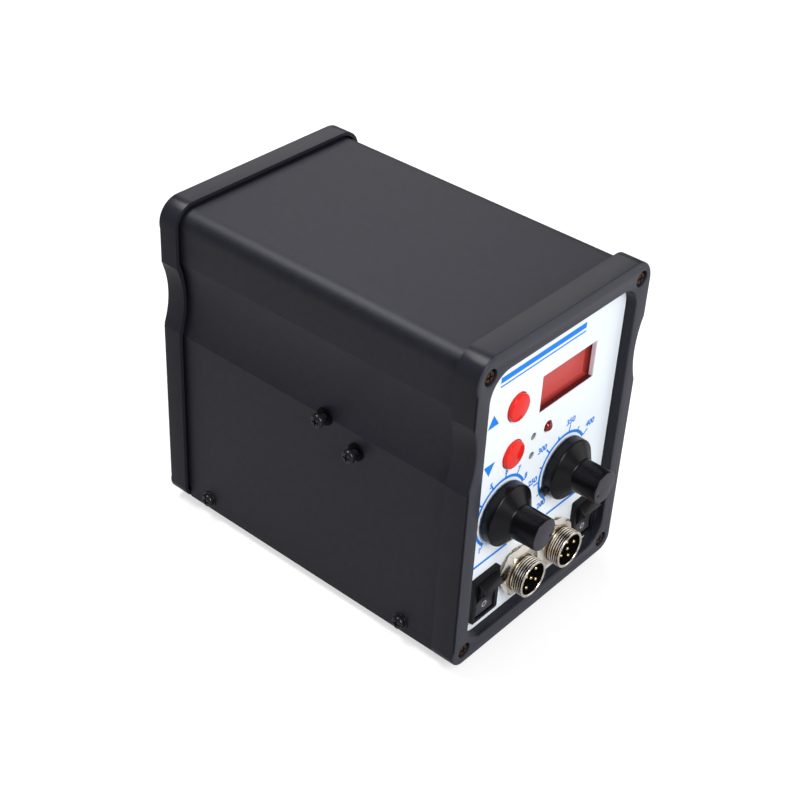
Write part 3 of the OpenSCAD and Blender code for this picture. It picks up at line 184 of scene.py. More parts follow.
def makeFinish(name, look):
    # Two close tones in soft patches, a fine grain in the relief and an uneven gloss
    material, tree, place = startMaterial(name)
    patches = addNode(tree, "ShaderNodeTexNoise", {"Scale": perMm(look["patchMm"]), "Detail": 4.0},
                      {"Vector": place})
    tone = mixTones(tree, patches.outputs["Fac"], toLinear(look["dark"]), toLinear(look["light"]))
    drawn = place
    if "drawn" in look:
        # Lines left by drawing or turning run along the long side of a stretched grain
        stretch = addNode(tree, "ShaderNodeMapping", {"Scale": look["drawn"]}, {"Vector": place})
        drawn = stretch.outputs["Vector"]
    grain = addNode(tree, "ShaderNodeTexNoise",
                    {"Scale": perMm(look["grainMm"]), "Detail": 3.0, "Roughness": 0.6}, {"Vector": drawn})
    grainHeight = grain.outputs["Fac"]
    if "bands" in look:
        # A repeated groove or lamination along one axis: a wave of that pitch, dark in its hollows; painted
        # shade in a thread's roots, real dark joints between laminations
        axis, pitch, offset, hollow = look["bands"]
        wave = addNode(tree, "ShaderNodeTexWave",
                       {"wave_type": "BANDS", "bands_direction": axis, "Scale": waveUnit * perMm(pitch),
                        "Phase Offset": -2 * math.pi * offset / pitch}, {"Vector": place})
        shade = ramp(tree, wave.outputs["Fac"], *hollowShare)
        tone = mixTones(tree, shade, toLinear(hollow), tone)
    if "well" in look:
        # What lies in front of a depth (in Y) has another colour: painted shade on the lens's sides, painted
        # light on the bezel's front and the knobs' ends, and a painted highlight on the thread's rim
        near, far, ahead = look["well"]
        depth = addNode(tree, "ShaderNodeSeparateXYZ", None, {0: place}).outputs["Y"]
        tone = mixTones(tree, ramp(tree, depth, near, far), toLinear(ahead), tone)
    for height, lower in look.get("below", ()):
        # Below this height (in Z) the surface has another colour: painted shade on the panel's cut edges,
        # painted light on the paddles' lower halves
        rise = addNode(tree, "ShaderNodeSeparateXYZ", None, {0: place})
        under = addNode(tree, "ShaderNodeMath", {"operation": "LESS_THAN", 1: height}, {0: rise.outputs["Z"]})
        tone = mixTones(tree, under.outputs[0], tone, toLinear(lower))
    gloss = addNode(tree, "ShaderNodeMapRange", {"To Min": look["rough"][0], "To Max": look["rough"][1]},
                    {"Value": grainHeight}).outputs["Result"]
    relief = addNode(tree, "ShaderNodeBump", {"Strength": reliefStrength, "Distance": look["depthMm"] * mm},
                     {"Height": grainHeight}).outputs["Normal"]
    settings = {"Metallic": look.get("metal", 0.0), "Specular IOR Level": look.get("specular", 0.5)}
    for key in ("Specular Tint", "Coat Weight", "Coat Roughness", "Subsurface Weight", "Transmission Weight"):
        if key in look:
            settings[key] = look[key]
    shader = addNode(tree, "ShaderNodeBsdfPrincipled", settings,
                     {"Base Color": tone, "Roughness": gloss, "Normal": relief})
    addNode(tree, "ShaderNodeOutputMaterial", None, {"Surface": shader.outputs["BSDF"]})
    return material


finishLooks = {
    # Powder coat is baked plastic dust: matt, with a fine orange-peel surface
    "coated_steel": ("powderCoatedSteel", {
        "dark": "#101017", "light": "#1d1d26", "patchMm": 3, "grainMm": 0.45, "depthMm": 0.05,
        "rough": (0.42, 0.58), "specular": 0.36, "Specular Tint": toLinear("#f3f2ff")}),
    # Moulded ABS from a spark-eroded mould: satin, slightly greyer than the coat
    "bezel_abs": ("mouldedSatinAbs", {
        "dark": "#1f1f26", "light": "#25252d", "patchMm": 9, "grainMm": 0.25, "depthMm": 0.006,
        "rough": (0.24, 0.33), "specular": 0.13,
        # The bezel's flat front is painted lighter than its sides, as painted light
        "well": (bezelFace + 0.3 * mm, bezelFace + 0.7 * mm, "#3a3a42")}),
    # White stoved enamel on sheet, seen only at cut edges: the window's sill is painted dark red, as painted
    # shade tinted by red light from the lens, and the cut edges below it grey, partly as bare steel and
    # partly as painted shade
    "panel_paint": ("stovedWhiteEnamel", {
        "dark": "#e4e6f0", "light": "#eef0f6", "patchMm": 6, "grainMm": 0.4, "depthMm": 0.006,
        "rough": (0.3, 0.4), "specular": 0.4,
        "below": ((windowFoot + 0.1 * mm, "#4d1519"), (windowFoot - 0.2 * mm, "#a0a2a6"))}),
    # Zinc-plated sheet: grey metal with a faint cloudy spangle
    "zinc_steel": ("zincPlatedSteel", {
        "dark": "#9a9da1", "light": "#b6b8bb", "patchMm": 5, "grainMm": 0.6, "depthMm": 0.004,
        "rough": (0.3, 0.45), "metal": 1.0}),
    # Screen-printed film: bluish white with a satin top layer
    "overlay": ("printedPolycarbonateFilm", {
        "dark": "#e8f1f9", "light": "#f1f6fb", "patchMm": 20, "grainMm": 0.3, "depthMm": 0.002,
        "rough": (0.32, 0.42), "specular": 0.36}),
    # Yellow passivated zinc, gone brown: dark bronze with small brighter patches
    "yellow_zinc": ("yellowZincSteel", {
        "dark": "#241a12", "light": "#6e543a", "patchMm": 0.9, "grainMm": 0.2, "depthMm": 0.006,
        "rough": (0.28, 0.5), "metal": 1.0}),
    "black_steel": ("blackOxideSteel", {
        "dark": "#1b1b1e", "light": "#34343a", "patchMm": 0.7, "grainMm": 0.15, "depthMm": 0.004,
        "rough": (0.18, 0.34), "metal": 0.6}),
    "foot_rubber": ("mouldedRubber", {
        "dark": "#161616", "light": "#1f1f1f", "patchMm": 3, "grainMm": 0.4, "depthMm": 0.02,
        "rough": (0.75, 0.9), "specular": 0.3}),
    # Cast filter acrylic: an even brick red on the face; its sides are painted wine red, darker towards the
    # panel, as painted shade
    "red_acrylic": ("redFilterAcrylic", {
        "dark": "#c4534f", "light": "#ce5b56", "patchMm": 7, "grainMm": 0.5, "depthMm": 0.002,
        "rough": (0.34, 0.42), "specular": 0.15,
        "well": (labelFace + 1.8 * mm, labelFace + 4.6 * mm, "#430b10")}),
    "display_block": ("mouldedBlackEpoxy", {
        "dark": "#1a1414", "light": "#241a1a", "patchMm": 4, "grainMm": 0.3, "depthMm": 0.005,
        "rough": (0.4, 0.5)}),
    "board": ("greenSolderMask", {
        "dark": "#0f3b22", "light": "#1c5a34", "patchMm": 2.2, "grainMm": 0.5, "depthMm": 0.02,
        "rough": (0.25, 0.4), "Coat Weight": 0.3, "Coat Roughness": 0.15}),
    "brass_parts": ("goldFlashedBrass", {
        "dark": "#d3b274", "light": "#f5e0b0", "patchMm": 0.6, "grainMm": 0.1, "depthMm": 0.002,
        "rough": (0.14, 0.24), "metal": 1.0}),
    # Caps straight from a polished mould: a clear red with a wet-looking gloss
    "red_abs": ("polishedRedAbs", {
        "dark": "#dd2019", "light": "#e8291f", "patchMm": 4, "grainMm": 0.3, "depthMm": 0.002,
        "rough": (0.08, 0.13), "specular": 0.3}),
    "black_nylon": ("glassFilledNylon", {
        "dark": "#0e0e10", "light": "#161618", "patchMm": 1.2, "grainMm": 0.15, "depthMm": 0.006,
        "rough": (0.45, 0.6), "specular": 0.4}),
    "white_nylon": ("naturalNylon", {
        "dark": "#6f6e6a", "light": "#84827c", "patchMm": 1.5, "grainMm": 0.2, "depthMm": 0.004,
        "rough": (0.4, 0.5), "Subsurface Weight": 0.1}),
    "blue_plastic": ("mouldedBluePlastic", {
        "dark": "#1c4f94", "light": "#2760ac", "patchMm": 2, "grainMm": 0.2, "depthMm": 0.004,
        "rough": (0.35, 0.5)}),
    "plated_parts": ("nickelPlatedSteel", {
        "dark": "#a9aaab", "light": "#cccdce", "patchMm": 1.5, "grainMm": 0.15, "depthMm": 0.002,
        "rough": (0.2, 0.34), "metal": 1.0}),
    # Knobs are moulded with a fine satin skin that shows long soft highlights; their flat front ends are
    # painted greyer, as painted light
    "knob_plastic": ("mouldedKnobAbs", {
        "dark": "#08080b", "light": "#0c0c10", "patchMm": 4, "grainMm": 0.2, "depthMm": 0.003,
        "rough": (0.24, 0.32), "specular": 0.22,
        "well": (knobFace + 0.1 * mm, knobFace + 0.14 * mm, "#33333a")}),
    "switch_plastic": ("mouldedSwitchNylon", {
        "dark": "#0b0b0e", "light": "#101014", "patchMm": 3, "grainMm": 0.2, "depthMm": 0.002,
        "rough": (0.3, 0.38), "specular": 0.16}),
    # Turned and nickel-plated: warm bright metal with fine turning lines
    "nickel": ("turnedNickelPlate", {
        "dark": "#e8dcc9", "light": "#f6ecdc", "patchMm": 3, "grainMm": 0.12, "depthMm": 0.002,
        "rough": (0.22, 0.32), "metal": 1.0}),
    "fuse_glass": ("fuseGlass", {
        "dark": "#d9e0e2", "light": "#e6ecee", "patchMm": 2, "grainMm": 0.3, "depthMm": 0.001,
        "rough": (0.05, 0.1), "Transmission Weight": 0.6}),
    "core_steel": ("varnishedLaminations", {
        "dark": "#3f4042", "light": "#5b5c5f", "patchMm": 0.6, "grainMm": 0.5, "depthMm": 0.05,
        "rough": (0.4, 0.6), "metal": 0.6, "bands": ("Y", 1.0, 0.0, "#202123")}),
    "winding_tape": ("yellowPolyesterTape", {
        "dark": "#c3952a", "light": "#dcae3c", "patchMm": 4, "grainMm": 1.0, "depthMm": 0.03,
        "rough": (0.22, 0.35)}),
    "capacitor_sleeve": ("blueShrinkSleeve", {
        "dark": "#16243f", "light": "#20345c", "patchMm": 3, "grainMm": 0.4, "depthMm": 0.01,
        "rough": (0.25, 0.35)}),
    "heatsink_alu": ("extrudedAluminium", {
        "dark": "#a3a5a8", "light": "#bcbec1", "patchMm": 2, "grainMm": 0.25, "depthMm": 0.01,
        "rough": (0.3, 0.45), "metal": 1.0, "drawn": (1, 1, 0.05)}),
    "wire_pvc": ("softPvc", {
        "dark": "#6a1d1d", "light": "#8a2a2a", "patchMm": 6, "grainMm": 0.4, "depthMm": 0.01,
        "rough": (0.35, 0.5)}),
}
finishes = {slot: makeFinish(name, look) for slot, (name, look) in finishLooks.items()}
azureInk = makeFinish("azureScreenInk", {
    "dark": "#167adc", "light": "#2488ea", "patchMm": 6, "grainMm": 0.2, "depthMm": 0.002,
    "rough": (0.4, 0.5), "specular": 0.1})
paleInk = makeFinish("paleSwitchInk", {
    "dark": "#c2c3c8", "light": "#d2d3d7", "patchMm": 1, "grainMm": 0.1, "depthMm": 0.001,
    "rough": (0.4, 0.5)})
# Clear red epoxy over a dark chip: deep wine red, almost black where it looks inwards
lampEpoxy = makeFinish("darkRedEpoxy", {
    "dark": "#6a050e", "light": "#7e0814", "patchMm": 2, "grainMm": 0.4, "depthMm": 0.001,
    "rough": (0.06, 0.1), "specular": 0.6})
# The holder's threaded inserts are painted near-black with almost no sheen, as painted shade
shadeBlackInsert = makeFinish("paintedShadeInsertBlack", {
    "dark": "#050506", "light": "#09090b", "patchMm": 1, "grainMm": 0.15, "depthMm": 0.004,
    "rough": (0.4, 0.5), "specular": 0.03})
# The paddles have a fine satin skin; their lower halves are painted a little greyer, as painted light
rockerMiddle = (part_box("rocker_left")[0].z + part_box("rocker_left")[1].z) / 2
paddleNylon = makeFinish("mouldedPaddleNylon", {
    "dark": "#0f0f12", "light": "#141418", "patchMm": 3, "grainMm": 0.2, "depthMm": 0.002,
    "rough": (0.26, 0.34), "specular": 0.35, "below": ((rockerMiddle - 0.5 * mm, "#303036"),)})
# Stamped washers keep a duller plate than the turned nuts in front of them
washerPlate = makeFinish("stampedNickelPlate", {
    "dark": "#8f897c", "light": "#aaa394", "patchMm": 2, "grainMm": 0.15, "depthMm": 0.004,
    "rough": (0.3, 0.42), "metal": 1.0})
# The connectors' bores are painted deep black and nearly matt, as painted shade
boreShadeBlack = makeFinish("paintedShadeBoreBlack", {
    "dark": "#070707", "light": "#0c0c0c", "patchMm": 2, "grainMm": 0.2, "depthMm": 0.004,
    "rough": (0.4, 0.5), "specular": 0.2})
slotOf = {part["node"]: part["material_slot"] for part in frame["record"]["subparts"]}
bodyOf = {node: body for body, members in frame["record"]["behaviour"]["bodies"].items() for node in members}
for node, piece in nodes.items():
    piece.data.materials.clear()
    piece.data.materials.append(finishes[slotOf[node]])
print("slot finishes", len(finishes))


# Pieces

usualAngle = 35  # degrees from which an edge is sharp, unless a piece names its own angle
mending = {"mergeMm": 0.002, "flatDegrees": 0.4, "bevelSegments": 3}
fineness = {"shell": 96, "arc": 72, "ring": 40, "digit": 4}


def finishPiece(piece, name, body, material, replaced=(), sharpAngle=usualAngle):
    # A visual piece, with its finish, the body it moves with, and the CAD nodes it stands for
    piece.name = piece.data.name = name
    settle(piece)
    piece.data.materials.clear()
    piece.data.materials.append(material)
    bpy.ops.object.shade_smooth_by_angle(angle=math.radians(sharpAngle))
    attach(piece, body)
    if replaced:
        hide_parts(*replaced)
    return piece


def soften(node, name, width, sharpAngle=usualAngle, material=None):
    # The same moulding with its doubles merged and its sharp edges rounded
    piece = nodes[node].copy()
    piece.data = nodes[node].data.copy()
    piece.parent = None
    for key in list(piece.keys()):
        if key.startswith("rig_"):
            del piece[key]
    bpy.context.scene.collection.objects.link(piece)
    only(piece)
    bpy.ops.mesh.customdata_custom_splitnormals_clear()
    bpy.ops.object.mode_set(mode="EDIT")
    bpy.ops.mesh.select_all(action="SELECT")
    bpy.ops.mesh.remove_doubles(threshold=mending["mergeMm"] * mm)
    bpy.ops.mesh.dissolve_limited(angle_limit=math.radians(mending["flatDegrees"]))
    bpy.ops.object.mode_set(mode="OBJECT")
    if width:
        bevel = piece.modifiers.new("edges", "BEVEL")
        bevel.width = width * mm
        bevel.segments = mending["bevelSegments"]
        bevel.limit_method = "ANGLE"
        bevel.angle_limit = math.radians(usualAngle)
        bevel.use_clamp_overlap = True
        bpy.ops.object.modifier_apply(modifier="edges")
    material = material or finishes[slotOf[node]]
    return finishPiece(piece, name, bodyOf[node], material, (node,), sharpAngle)


softEdges = {
    # node: (name, width of the rounding in mm, angle from which an edge is shaded sharp)
    "front_bezel": ("frontBezelMoulding", 0.25, 17),
    "rear_bezel": ("rearBezelMoulding", 0.25, 17),
    "rocker_housings": ("rockerFrames", 0.3),
    "rocker_left": ("leftPaddle", 0.25),
    "rocker_right": ("rightPaddle", 0.25),
    "button_up": ("upButtonCap", 0, 75),
    "button_down": ("downButtonCap", 0, 75),
    "knob_left": ("leftKnobMoulding", 0.12),
    "knob_right": ("rightKnobMoulding", 0.12),
    "connector_nuts": ("connectorHexNuts", 0.15),
    "connector_washers": ("connectorToothedWashers", 0.1),
    "front_screws": ("frontPanScrews", 0.08),
    "rear_screws": ("rearPanScrews", 0.08),
    "side_screws": ("sidePanScrews", 0.08),
    "side_washers": ("sideWasherRings", 0.12),
    "holder_screws": ("holderPanScrews", 0.08),
    "holder_nuts": ("holderThreadInserts", 0.1),
    "inlet_body": ("inletMoulding", 0.4),
    "fuse_drawer": ("fuseDrawerMoulding", 0.25),
    "feet": ("footMouldings", 0.4),
    "heater_led": ("redLampDome", 0, 50),
}
ownFinish = {
    "heater_led": lampEpoxy,
    "holder_nuts": shadeBlackInsert,
    "connector_washers": washerPlate,
    "rocker_left": paddleNylon,
    "rocker_right": paddleNylon,
}
for node, settings in softEdges.items():
    soften(node, *settings, material=ownFinish.get(node))
print("softened", len(softEdges))


# The inlet's countersunk screws, with a cross recess cut in each head
crossRecess = {"edge": 0.08, "reach": 3.2, "slot": 0.7, "depth": 1.0}
inletScrews = soften("inlet_fasteners", "inletScrews", crossRecess["edge"])
low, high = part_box("inlet_fasteners")
headR = (high.z - low.z) / 2
reach, slot = crossRecess["reach"] * mm, crossRecess["slot"] * mm
for x in (low.x + headR, high.x - headR):
    for wide, tall in ((reach, slot), (slot, reach)):
        bpy.ops.object.select_all(action="DESELECT")
        bpy.ops.mesh.primitive_cube_add(size=1, location=(x, high.y, (low.z + high.z) / 2))
        cutter = bpy.context.object
        cutter.scale = (wide, 2 * crossRecess["depth"] * mm, tall)
        settle(cutter)
        only(inletScrews)
        cut = inletScrews.modifiers.new("recess", "BOOLEAN")
        cut.operation = "DIFFERENCE"
        cut.solver = "EXACT"
        cut.object = cutter
        bpy.ops.object.modifier_apply(modifier="recess")
        only(cutter)
        bpy.ops.object.delete()
print("recesses")


def turnPiece(x, z, profile):
    # A turned piece: its outline as (radius, distance in front of the label), closed back to the first point
    start = profile[0]
    bpy.ops.object.select_all(action="DESELECT")
    bpy.ops.mesh.primitive_circle_add(vertices=fineness["shell"], radius=start[0] * mm, fill_type="NOTHING",
                                      location=fromPanel(x, z, start[1]), rotation=(math.radians(90), 0, 0))
    piece = settle(bpy.context.object)
    centre = fromPanel(x, z)
    bpy.ops.object.mode_set(mode="EDIT")
    bpy.ops.mesh.select_all(action="SELECT")
    for (oldR, oldY), (newR, newY) in zip(profile, profile[1:] + profile[:1]):
        ratio = newR / oldR
        bpy.ops.mesh.extrude_edges_move(TRANSFORM_OT_translate={"value": (0, (oldY - newY) * mm, 0)})
        bpy.ops.transform.resize(value=(ratio, 1, ratio), center_override=centre)
    bpy.ops.mesh.select_all(action="SELECT")
    bpy.ops.mesh.remove_doubles(threshold=mending["mergeMm"] * mm)
    bpy.ops.mesh.normals_make_consistent(inside=False)
    bpy.ops.object.mode_set(mode="OBJECT")
    return piece


# The two round shells: a fine thread in front of the nut, a plain neck behind it, a collar behind the panel.
# Sizes in mm, places along the axis as distances in front of the label, the sharp edges' angle in degrees
connector = {
    "leftX": -11.6, "rightX": 11.5, "z": 24.1,
    "radius": 7.7, "neck": 7.45, "wall": 1.1, "clearance": 0.02,
    "front": 10.2, "nutFace": 4.5, "rear": -10.8, "collar": (9.1, -1.8, -3.8),
    "boreBevel": 0.2, "rimBevel": 0.15, "rim": 0.5, "runOut": 0.1, "boreShadeMargin": 0.05, "sharpAngle": 20,
}
# A turn's outline: how deep it is, and how far behind the turn's start, as shares of the depth and the pitch
thread = {
    "pitch": 1.0, "depth": 0.45, "turns": 4, "start": 0.7, "hollow": 0.08, "rimHighlight": (0.34, 0.3),
    "outline": ((1, 0), (0, 0.3), (0, 0.55), (1, 0.85)),
}
crest, neck = connector["radius"], connector["neck"]
bore = crest - connector["wall"] + connector["clearance"]
front, rear, nutFace = connector["front"], connector["rear"], connector["nutFace"]
collarR, collarFront, collarBack = connector["collar"]
firstRoot = front - thread["start"]
outline = [(bore, rear), (bore, front - connector["boreBevel"]), (bore + connector["boreBevel"], front),
           (crest - connector["rimBevel"], front), (crest, front - connector["rimBevel"]),
           (crest, front - connector["rim"])]
for turn in range(thread["turns"]):
    for deep, behind in thread["outline"]:
        outline.append((crest - deep * thread["depth"], firstRoot - (turn + behind) * thread["pitch"]))
outline += [(crest - thread["depth"], nutFace), (neck, nutFace - connector["runOut"]), (neck, collarFront),
            (collarR, collarFront), (collarR, collarBack), (neck, collarBack), (neck, rear)]
# The thread's roots are painted darker than the crests, as painted shade
rootPlace = labelFace / mm - firstRoot - thread["hollow"] * thread["pitch"]
threadedNickel = makeFinish("threadedNickelPlate", {
    "dark": "#e6dac8", "light": "#f6ecdc", "patchMm": 3, "grainMm": 0.12, "depthMm": 0.002,
    "rough": (0.2, 0.3), "metal": 1.0, "bands": ("Y", thread["pitch"], rootPlace, "#4a3e32"),
    # The rim in front of the first root is kept clear of the painted root shade and painted a paler cream, as
    # a painted highlight
    "well": (*(labelFace - (firstRoot + ahead) * mm for ahead in thread["rimHighlight"]), "#f8efe0")})
for side in ("left", "right"):
    x = connector[side + "X"]
    shell = turnPiece(x, connector["z"], outline)
    finishPiece(shell, side + "ThreadedShell", "case", threadedNickel, ("connector_shells",),
                connector["sharpAngle"])
    # The bore's inner wall, from just behind the rim, is painted black as painted shade
    shell.data.materials.append(boreShadeBlack)
    for face in shell.data.polygons:
        away = math.hypot(face.center.x / mm - x, (face.center.z - bezelFoot) / mm - connector["z"])
        if away < bore + connector["boreShadeMargin"]:
            face.material_index = 1
print("threads", thread["turns"])


# Printing on the label, drawn flat in X and Z and then stood up on the label's face

printing = {
    "arcRadius": 14.0, "arcWidth": 1.25, "arcStart": 0.02,
    "majorTick": 2.8, "minorTick": 1.3, "tickWidth": 0.75, "tickOverlap": 0.2,
    "boldness": 0.16, "lift": 0.02,
}


def flatPlate(x, z, wide, high, turn=0.0):
    bpy.ops.mesh.primitive_plane_add(size=1, location=(x, z, 0), rotation=(0, 0, math.radians(turn)))
    plate = bpy.context.object
    plate.scale = (wide, high, 1)
    return plate


def arcBand(x, z, radius, width, fromAngle, toAngle):
    # A short strip at the start angle, whose end edge is spun round the middle
    plate = flatPlate(x + radius, z, width, printing["arcStart"])
    settle(plate)
    ends = [vertex.index for vertex in plate.data.vertices if vertex.co.y > z]
    middle = Matrix.Translation((x, z, 0))
    plate.data.transform(middle @ Matrix.Rotation(math.radians(fromAngle), 4, "Z") @ middle.inverted())
    bpy.ops.object.mode_set(mode="EDIT")
    bpy.ops.mesh.select_mode(type="VERT")
    bpy.ops.mesh.select_all(action="DESELECT")
    bpy.ops.object.mode_set(mode="OBJECT")
    for vertex in plate.data.vertices:
        vertex.select = vertex.index in ends
    for edge in plate.data.edges:
        edge.select = all(index in ends for index in edge.vertices)
    bpy.ops.object.mode_set(mode="EDIT")
    bpy.ops.mesh.spin(steps=fineness["arc"], angle=math.radians(fromAngle - toAngle), center=(x, z, 0),
                      axis=(0, 0, 1))
    bpy.ops.object.mode_set(mode="OBJECT")
    return plate


def number(text, x, z, size):
    bpy.ops.object.text_add(location=(x, z, 0))
    piece = bpy.context.object
    piece.data.body = text
    piece.data.size = size
    piece.data.offset = printing["boldness"]
    piece.data.align_x = "CENTER"
    piece.data.align_y = "CENTER"
    piece.data.resolution_u = fineness["digit"]
    only(piece)
    bpy.ops.object.convert(target="MESH")
    return bpy.context.object


def triangle(points):
    plate = flatPlate(0, 0, 1, 1)
    settle(plate)
    for vertex, (x, z) in zip(plate.data.vertices, (*points, points[2])):
        vertex.co = (x, z, 0)
    return plate


# Angles in degrees from the right, counterclockwise; marks as (digits, across, up) from the dial's middle
scales = {
    "left": {
        "x": -23.4, "z": 58.7, "first": 231, "last": 27, "digit": 3.1,
        "major": (), "minor": (231, 202, 173, 144, 114.5, 85.4, 56, 27),
        "marks": (("1", -10.6, -12.8), ("2", -15.4, -6.2), ("3", -16.5, 2.0), ("4", -13.5, 9.9),
                  ("5", -7.2, 15.1), ("6", 1.4, 16.9), ("7", 9.2, 13.9), ("8", 13.9, 8.2))},
    "right": {
        "x": 13.6, "z": 58.7, "first": 231, "last": 31, "digit": 3.6,
        "major": (231, 181, 131, 81, 31), "minor": (206, 156, 106, 56),
        "marks": (("200", -10.7, -12.7), ("250", -18.2, 2.2), ("300", -14.2, 14.9), ("350", 2.65, 18.9),
                  ("400", 16.2, 11.3))},
}
# Corners of the triangles beside the two buttons
triangles = (
    ((-33.2, 105.9), (-36.1, 100.8), (-29.9, 100.8)),
    ((-32.9, 79.3), (-29.9, 84.4), (-36.1, 84.4)),
)
# Plain stripes, as middle, width and height: a thick and a thin one above the controls, two under the dials
stripes = ((-6.5, 118.9, 49, 2.4), (-6.5, 116.3, 49, 0.7), (-26.6, 38.9, 19.6, 1.2), (17.2, 38.3, 19.4, 1.2))
radius, width, overlap = printing["arcRadius"], printing["arcWidth"], printing["tickOverlap"]
printed = []
for scale in scales.values():
    x, z = scale["x"], scale["z"]
    printed.append(arcBand(x, z, radius, width, scale["last"], scale["first"]))
    for angles, reach in ((scale["major"], printing["majorTick"]), (scale["minor"], printing["minorTick"])):
        along = radius + width / 2 + reach / 2 - overlap / 2
        for angle in angles:
            a = math.radians(angle)
            printed.append(flatPlate(x + along * math.cos(a), z + along * math.sin(a), reach + overlap,
                                     printing["tickWidth"], angle))
    for digits, across, up in scale["marks"]:
        printed.append(number(digits, x + across, z + up, scale["digit"]))
for points in triangles:
    printed.append(triangle(points))
for x, z, wide, high in stripes:
    printed.append(flatPlate(x, z, wide, high))
for piece in printed:
    settle(piece)
only(*printed)
bpy.ops.object.join()
panelPrint = bpy.context.object
bpy.ops.object.mode_set(mode="EDIT")
bpy.ops.mesh.select_all(action="SELECT")
bpy.ops.mesh.normals_make_consistent(inside=False)
bpy.ops.object.mode_set(mode="OBJECT")
onLabel = Matrix.Translation(fromPanel(0, 0, printing["lift"]))
panelPrint.matrix_world = onLabel @ Matrix.Rotation(math.radians(90), 4, "X") @ Matrix.Scale(mm, 4)
finishPiece(panelPrint, "panelPrint", "case", azureInk)
print("printing", len(printed))


# Ring marks printed on the lower ends of the rocker paddles, laid on the paddle's own face
ringMark = {"radius": 1.35, "line": 0.38, "drop": 4.6, "lift": 0.09, "lookFrom": 20}
for side in ("left", "right"):
    paddle = bpy.data.objects[softEdges["rocker_" + side][0]]
    low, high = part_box("rocker_" + side)
    bpy.context.view_layer.update()
    middle = (low + high) / 2
    start = Vector((middle.x, low.y - ringMark["lookFrom"] * mm, middle.z - ringMark["drop"] * mm))
    spot, normal = paddle.ray_cast(start, Vector((0, 1, 0)))[1:3]
    bpy.ops.object.select_all(action="DESELECT")
    bpy.ops.mesh.primitive_circle_add(vertices=fineness["ring"], radius=ringMark["radius"], fill_type="NGON")
    ring = bpy.context.object
    bpy.ops.object.mode_set(mode="EDIT")
    bpy.ops.mesh.select_all(action="SELECT")
    bpy.ops.mesh.inset(thickness=ringMark["line"])
    bpy.ops.mesh.delete(type="FACE")
    bpy.ops.object.mode_set(mode="OBJECT")
    onPaddle = Matrix.Translation(spot + normal * ringMark["lift"] * mm)
    facing = normal.to_track_quat("Z", "Y").to_matrix().to_4x4()
    ring.matrix_world = onPaddle @ facing @ Matrix.Scale(mm, 4)
    finishPiece(ring, side + "RingMark", "rocker_" + side, paleInk)
print("ring marks")


# Floor, lamps and world

studio = {
    "floor": ("#aeaeb0", "#b2b2b4"),
    "floorSize": 12,
    "floorDrop": 0.0001,
    "fibreMm": 2.0,
    "floorGlow": 0.62,
    "whiteFrom": (0.25, 0.7),
    "glossGlow": 0.03,
    "fill": 0.42,
    "sweep": 0.55,
    "sweepTop": 0.1,
    "ceiling": 0.1,
    "lamps": {
        # name: (place, size, power in watts, point it is aimed at), with lengths in metres
        "keySoftbox": ((-0.25, -1.05, 0.7), (0.45, 0.45), 7.8, (0, -0.03, 0.07)),
        "frontTopSoftbox": ((-0.22, -0.62, 0.85), (0.3, 0.3), 2.5, (0, -0.05, 0.05)),
        "backSoftbox": ((0.72, 0.6, 0.76), (0.62, 0.62), 2.25, (0, 0, 0.1)),
        "overheadSoftbox": ((-0.12, 0.38, 0.9), (0.46, 0.3), 6.8, (0, 0, 0.1)),
        "rightSoftbox": ((0.9, -0.9, 0.3), (0.8, 0.8), 2.5, (0, -0.05, 0.05)),
    },
}


def backdropRays(tree):
    # 1 for the rays that show the white surroundings: the camera's, and those in gloss and glass
    rays = addNode(tree, "ShaderNodeLightPath")
    seen = addNode(tree, "ShaderNodeMath", {"operation": "MAXIMUM"},
                   {0: rays.outputs["Is Glossy Ray"], 1: rays.outputs["Is Transmission Ray"]})
    return rays.outputs["Is Camera Ray"], seen.outputs[0]


bpy.ops.object.select_all(action="DESELECT")
bpy.ops.mesh.primitive_plane_add(size=studio["floorSize"], location=(0, 0, -studio["floorDrop"]))
floor = bpy.context.object
floor.name = "studioFloor"
floorPaper, tree, place = startMaterial("whiteStudioPaper")
byCamera, byGloss = backdropRays(tree)
fibre = addNode(tree, "ShaderNodeTexNoise", {"Scale": perMm(studio["fibreMm"]), "Detail": 2.0},
                {"Vector": place})
tone = mixTones(tree, fibre.outputs["Fac"], *(toLinear(shade) for shade in studio["floor"]))
paper = addNode(tree, "ShaderNodeBsdfDiffuse", None, {"Color": tone})
glossGlow = addNode(tree, "ShaderNodeMath", {"operation": "MULTIPLY", 1: studio["glossGlow"]}, {0: byGloss})
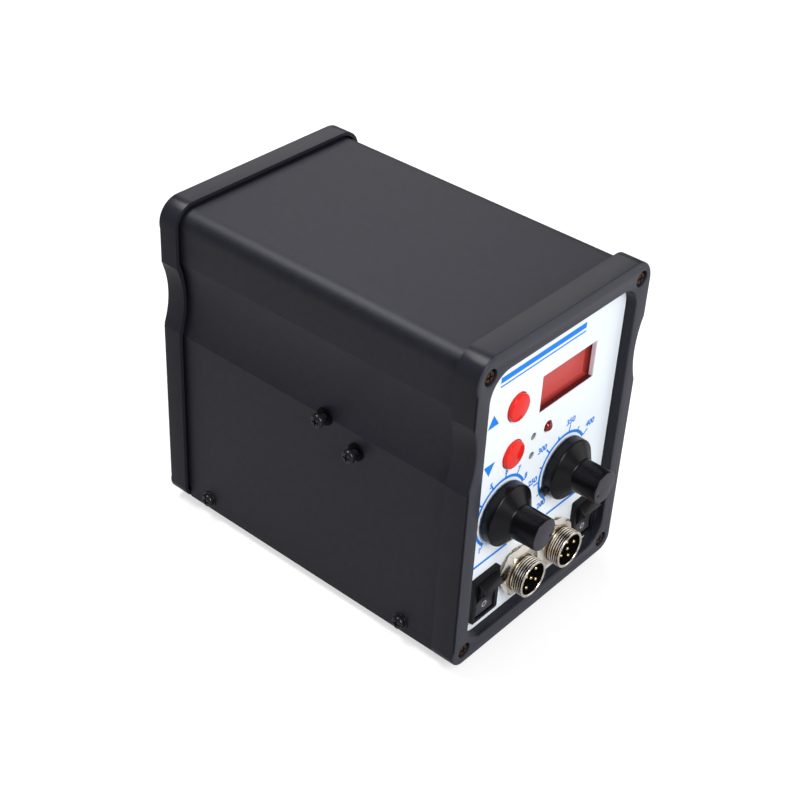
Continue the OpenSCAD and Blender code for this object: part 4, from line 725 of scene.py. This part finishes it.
# Away from the object, where the lamps fade, the camera sees the paper as white all the same
distance = addNode(tree, "ShaderNodeVectorMath", {"operation": "LENGTH"}, {0: place}).outputs["Value"]
cameraGlow = ramp(tree, distance, *studio["whiteFrom"], studio["floorGlow"], 1.0)
glowPower = addNode(tree, "ShaderNodeMath", {"operation": "MULTIPLY_ADD"},
                    {0: byCamera, 1: cameraGlow, 2: glossGlow.outputs[0]})
glow = addNode(tree, "ShaderNodeEmission", None, {"Strength": glowPower.outputs[0]})
both = addNode(tree, "ShaderNodeAddShader", None, {0: paper.outputs[0], 1: glow.outputs[0]})
addNode(tree, "ShaderNodeOutputMaterial", None, {"Surface": both.outputs[0]})
floor.data.materials.append(floorPaper)
floor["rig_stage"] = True

# A white sweep all round for the camera; gloss and glass show only a low band of it, under a dim ceiling
world = bpy.data.worlds.new("studioWorld")
bpy.context.scene.world = world
world.use_nodes = True
tree = world.node_tree
tree.nodes.clear()
byCamera, byGloss = backdropRays(tree)
towards = addNode(tree, "ShaderNodeTexCoord").outputs["Generated"]
upwards = addNode(tree, "ShaderNodeSeparateXYZ", None, {0: towards}).outputs["Z"]
sweep = ramp(tree, upwards, 0.0, studio["sweepTop"], studio["sweep"], studio["ceiling"])
inGloss = addNode(tree, "ShaderNodeMix", {"data_type": "FLOAT", 2: studio["fill"]}, {0: byGloss, 3: sweep})
power = addNode(tree, "ShaderNodeMix", {"data_type": "FLOAT", 3: 1.0}, {0: byCamera, 2: inGloss.outputs[0]})
sky = addNode(tree, "ShaderNodeBackground", {"Color": (1, 1, 1, 1)}, {"Strength": power.outputs[0]})
addNode(tree, "ShaderNodeOutputWorld", None, {"Surface": sky.outputs[0]})

for name, (place, size, watts, aim) in studio["lamps"].items():
    bpy.ops.object.light_add(type="AREA", location=place)
    lamp = bpy.context.object
    lamp.name = name
    lamp.data.shape = "RECTANGLE"
    lamp.data.size, lamp.data.size_y = size
    lamp.data.energy = watts
    lamp.rotation_euler = (Vector(place) - Vector(aim)).to_track_quat("Z", "Y").to_euler()
print("studio")

scene = bpy.context.scene
scene.view_settings.view_transform = "Standard"
low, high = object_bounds()
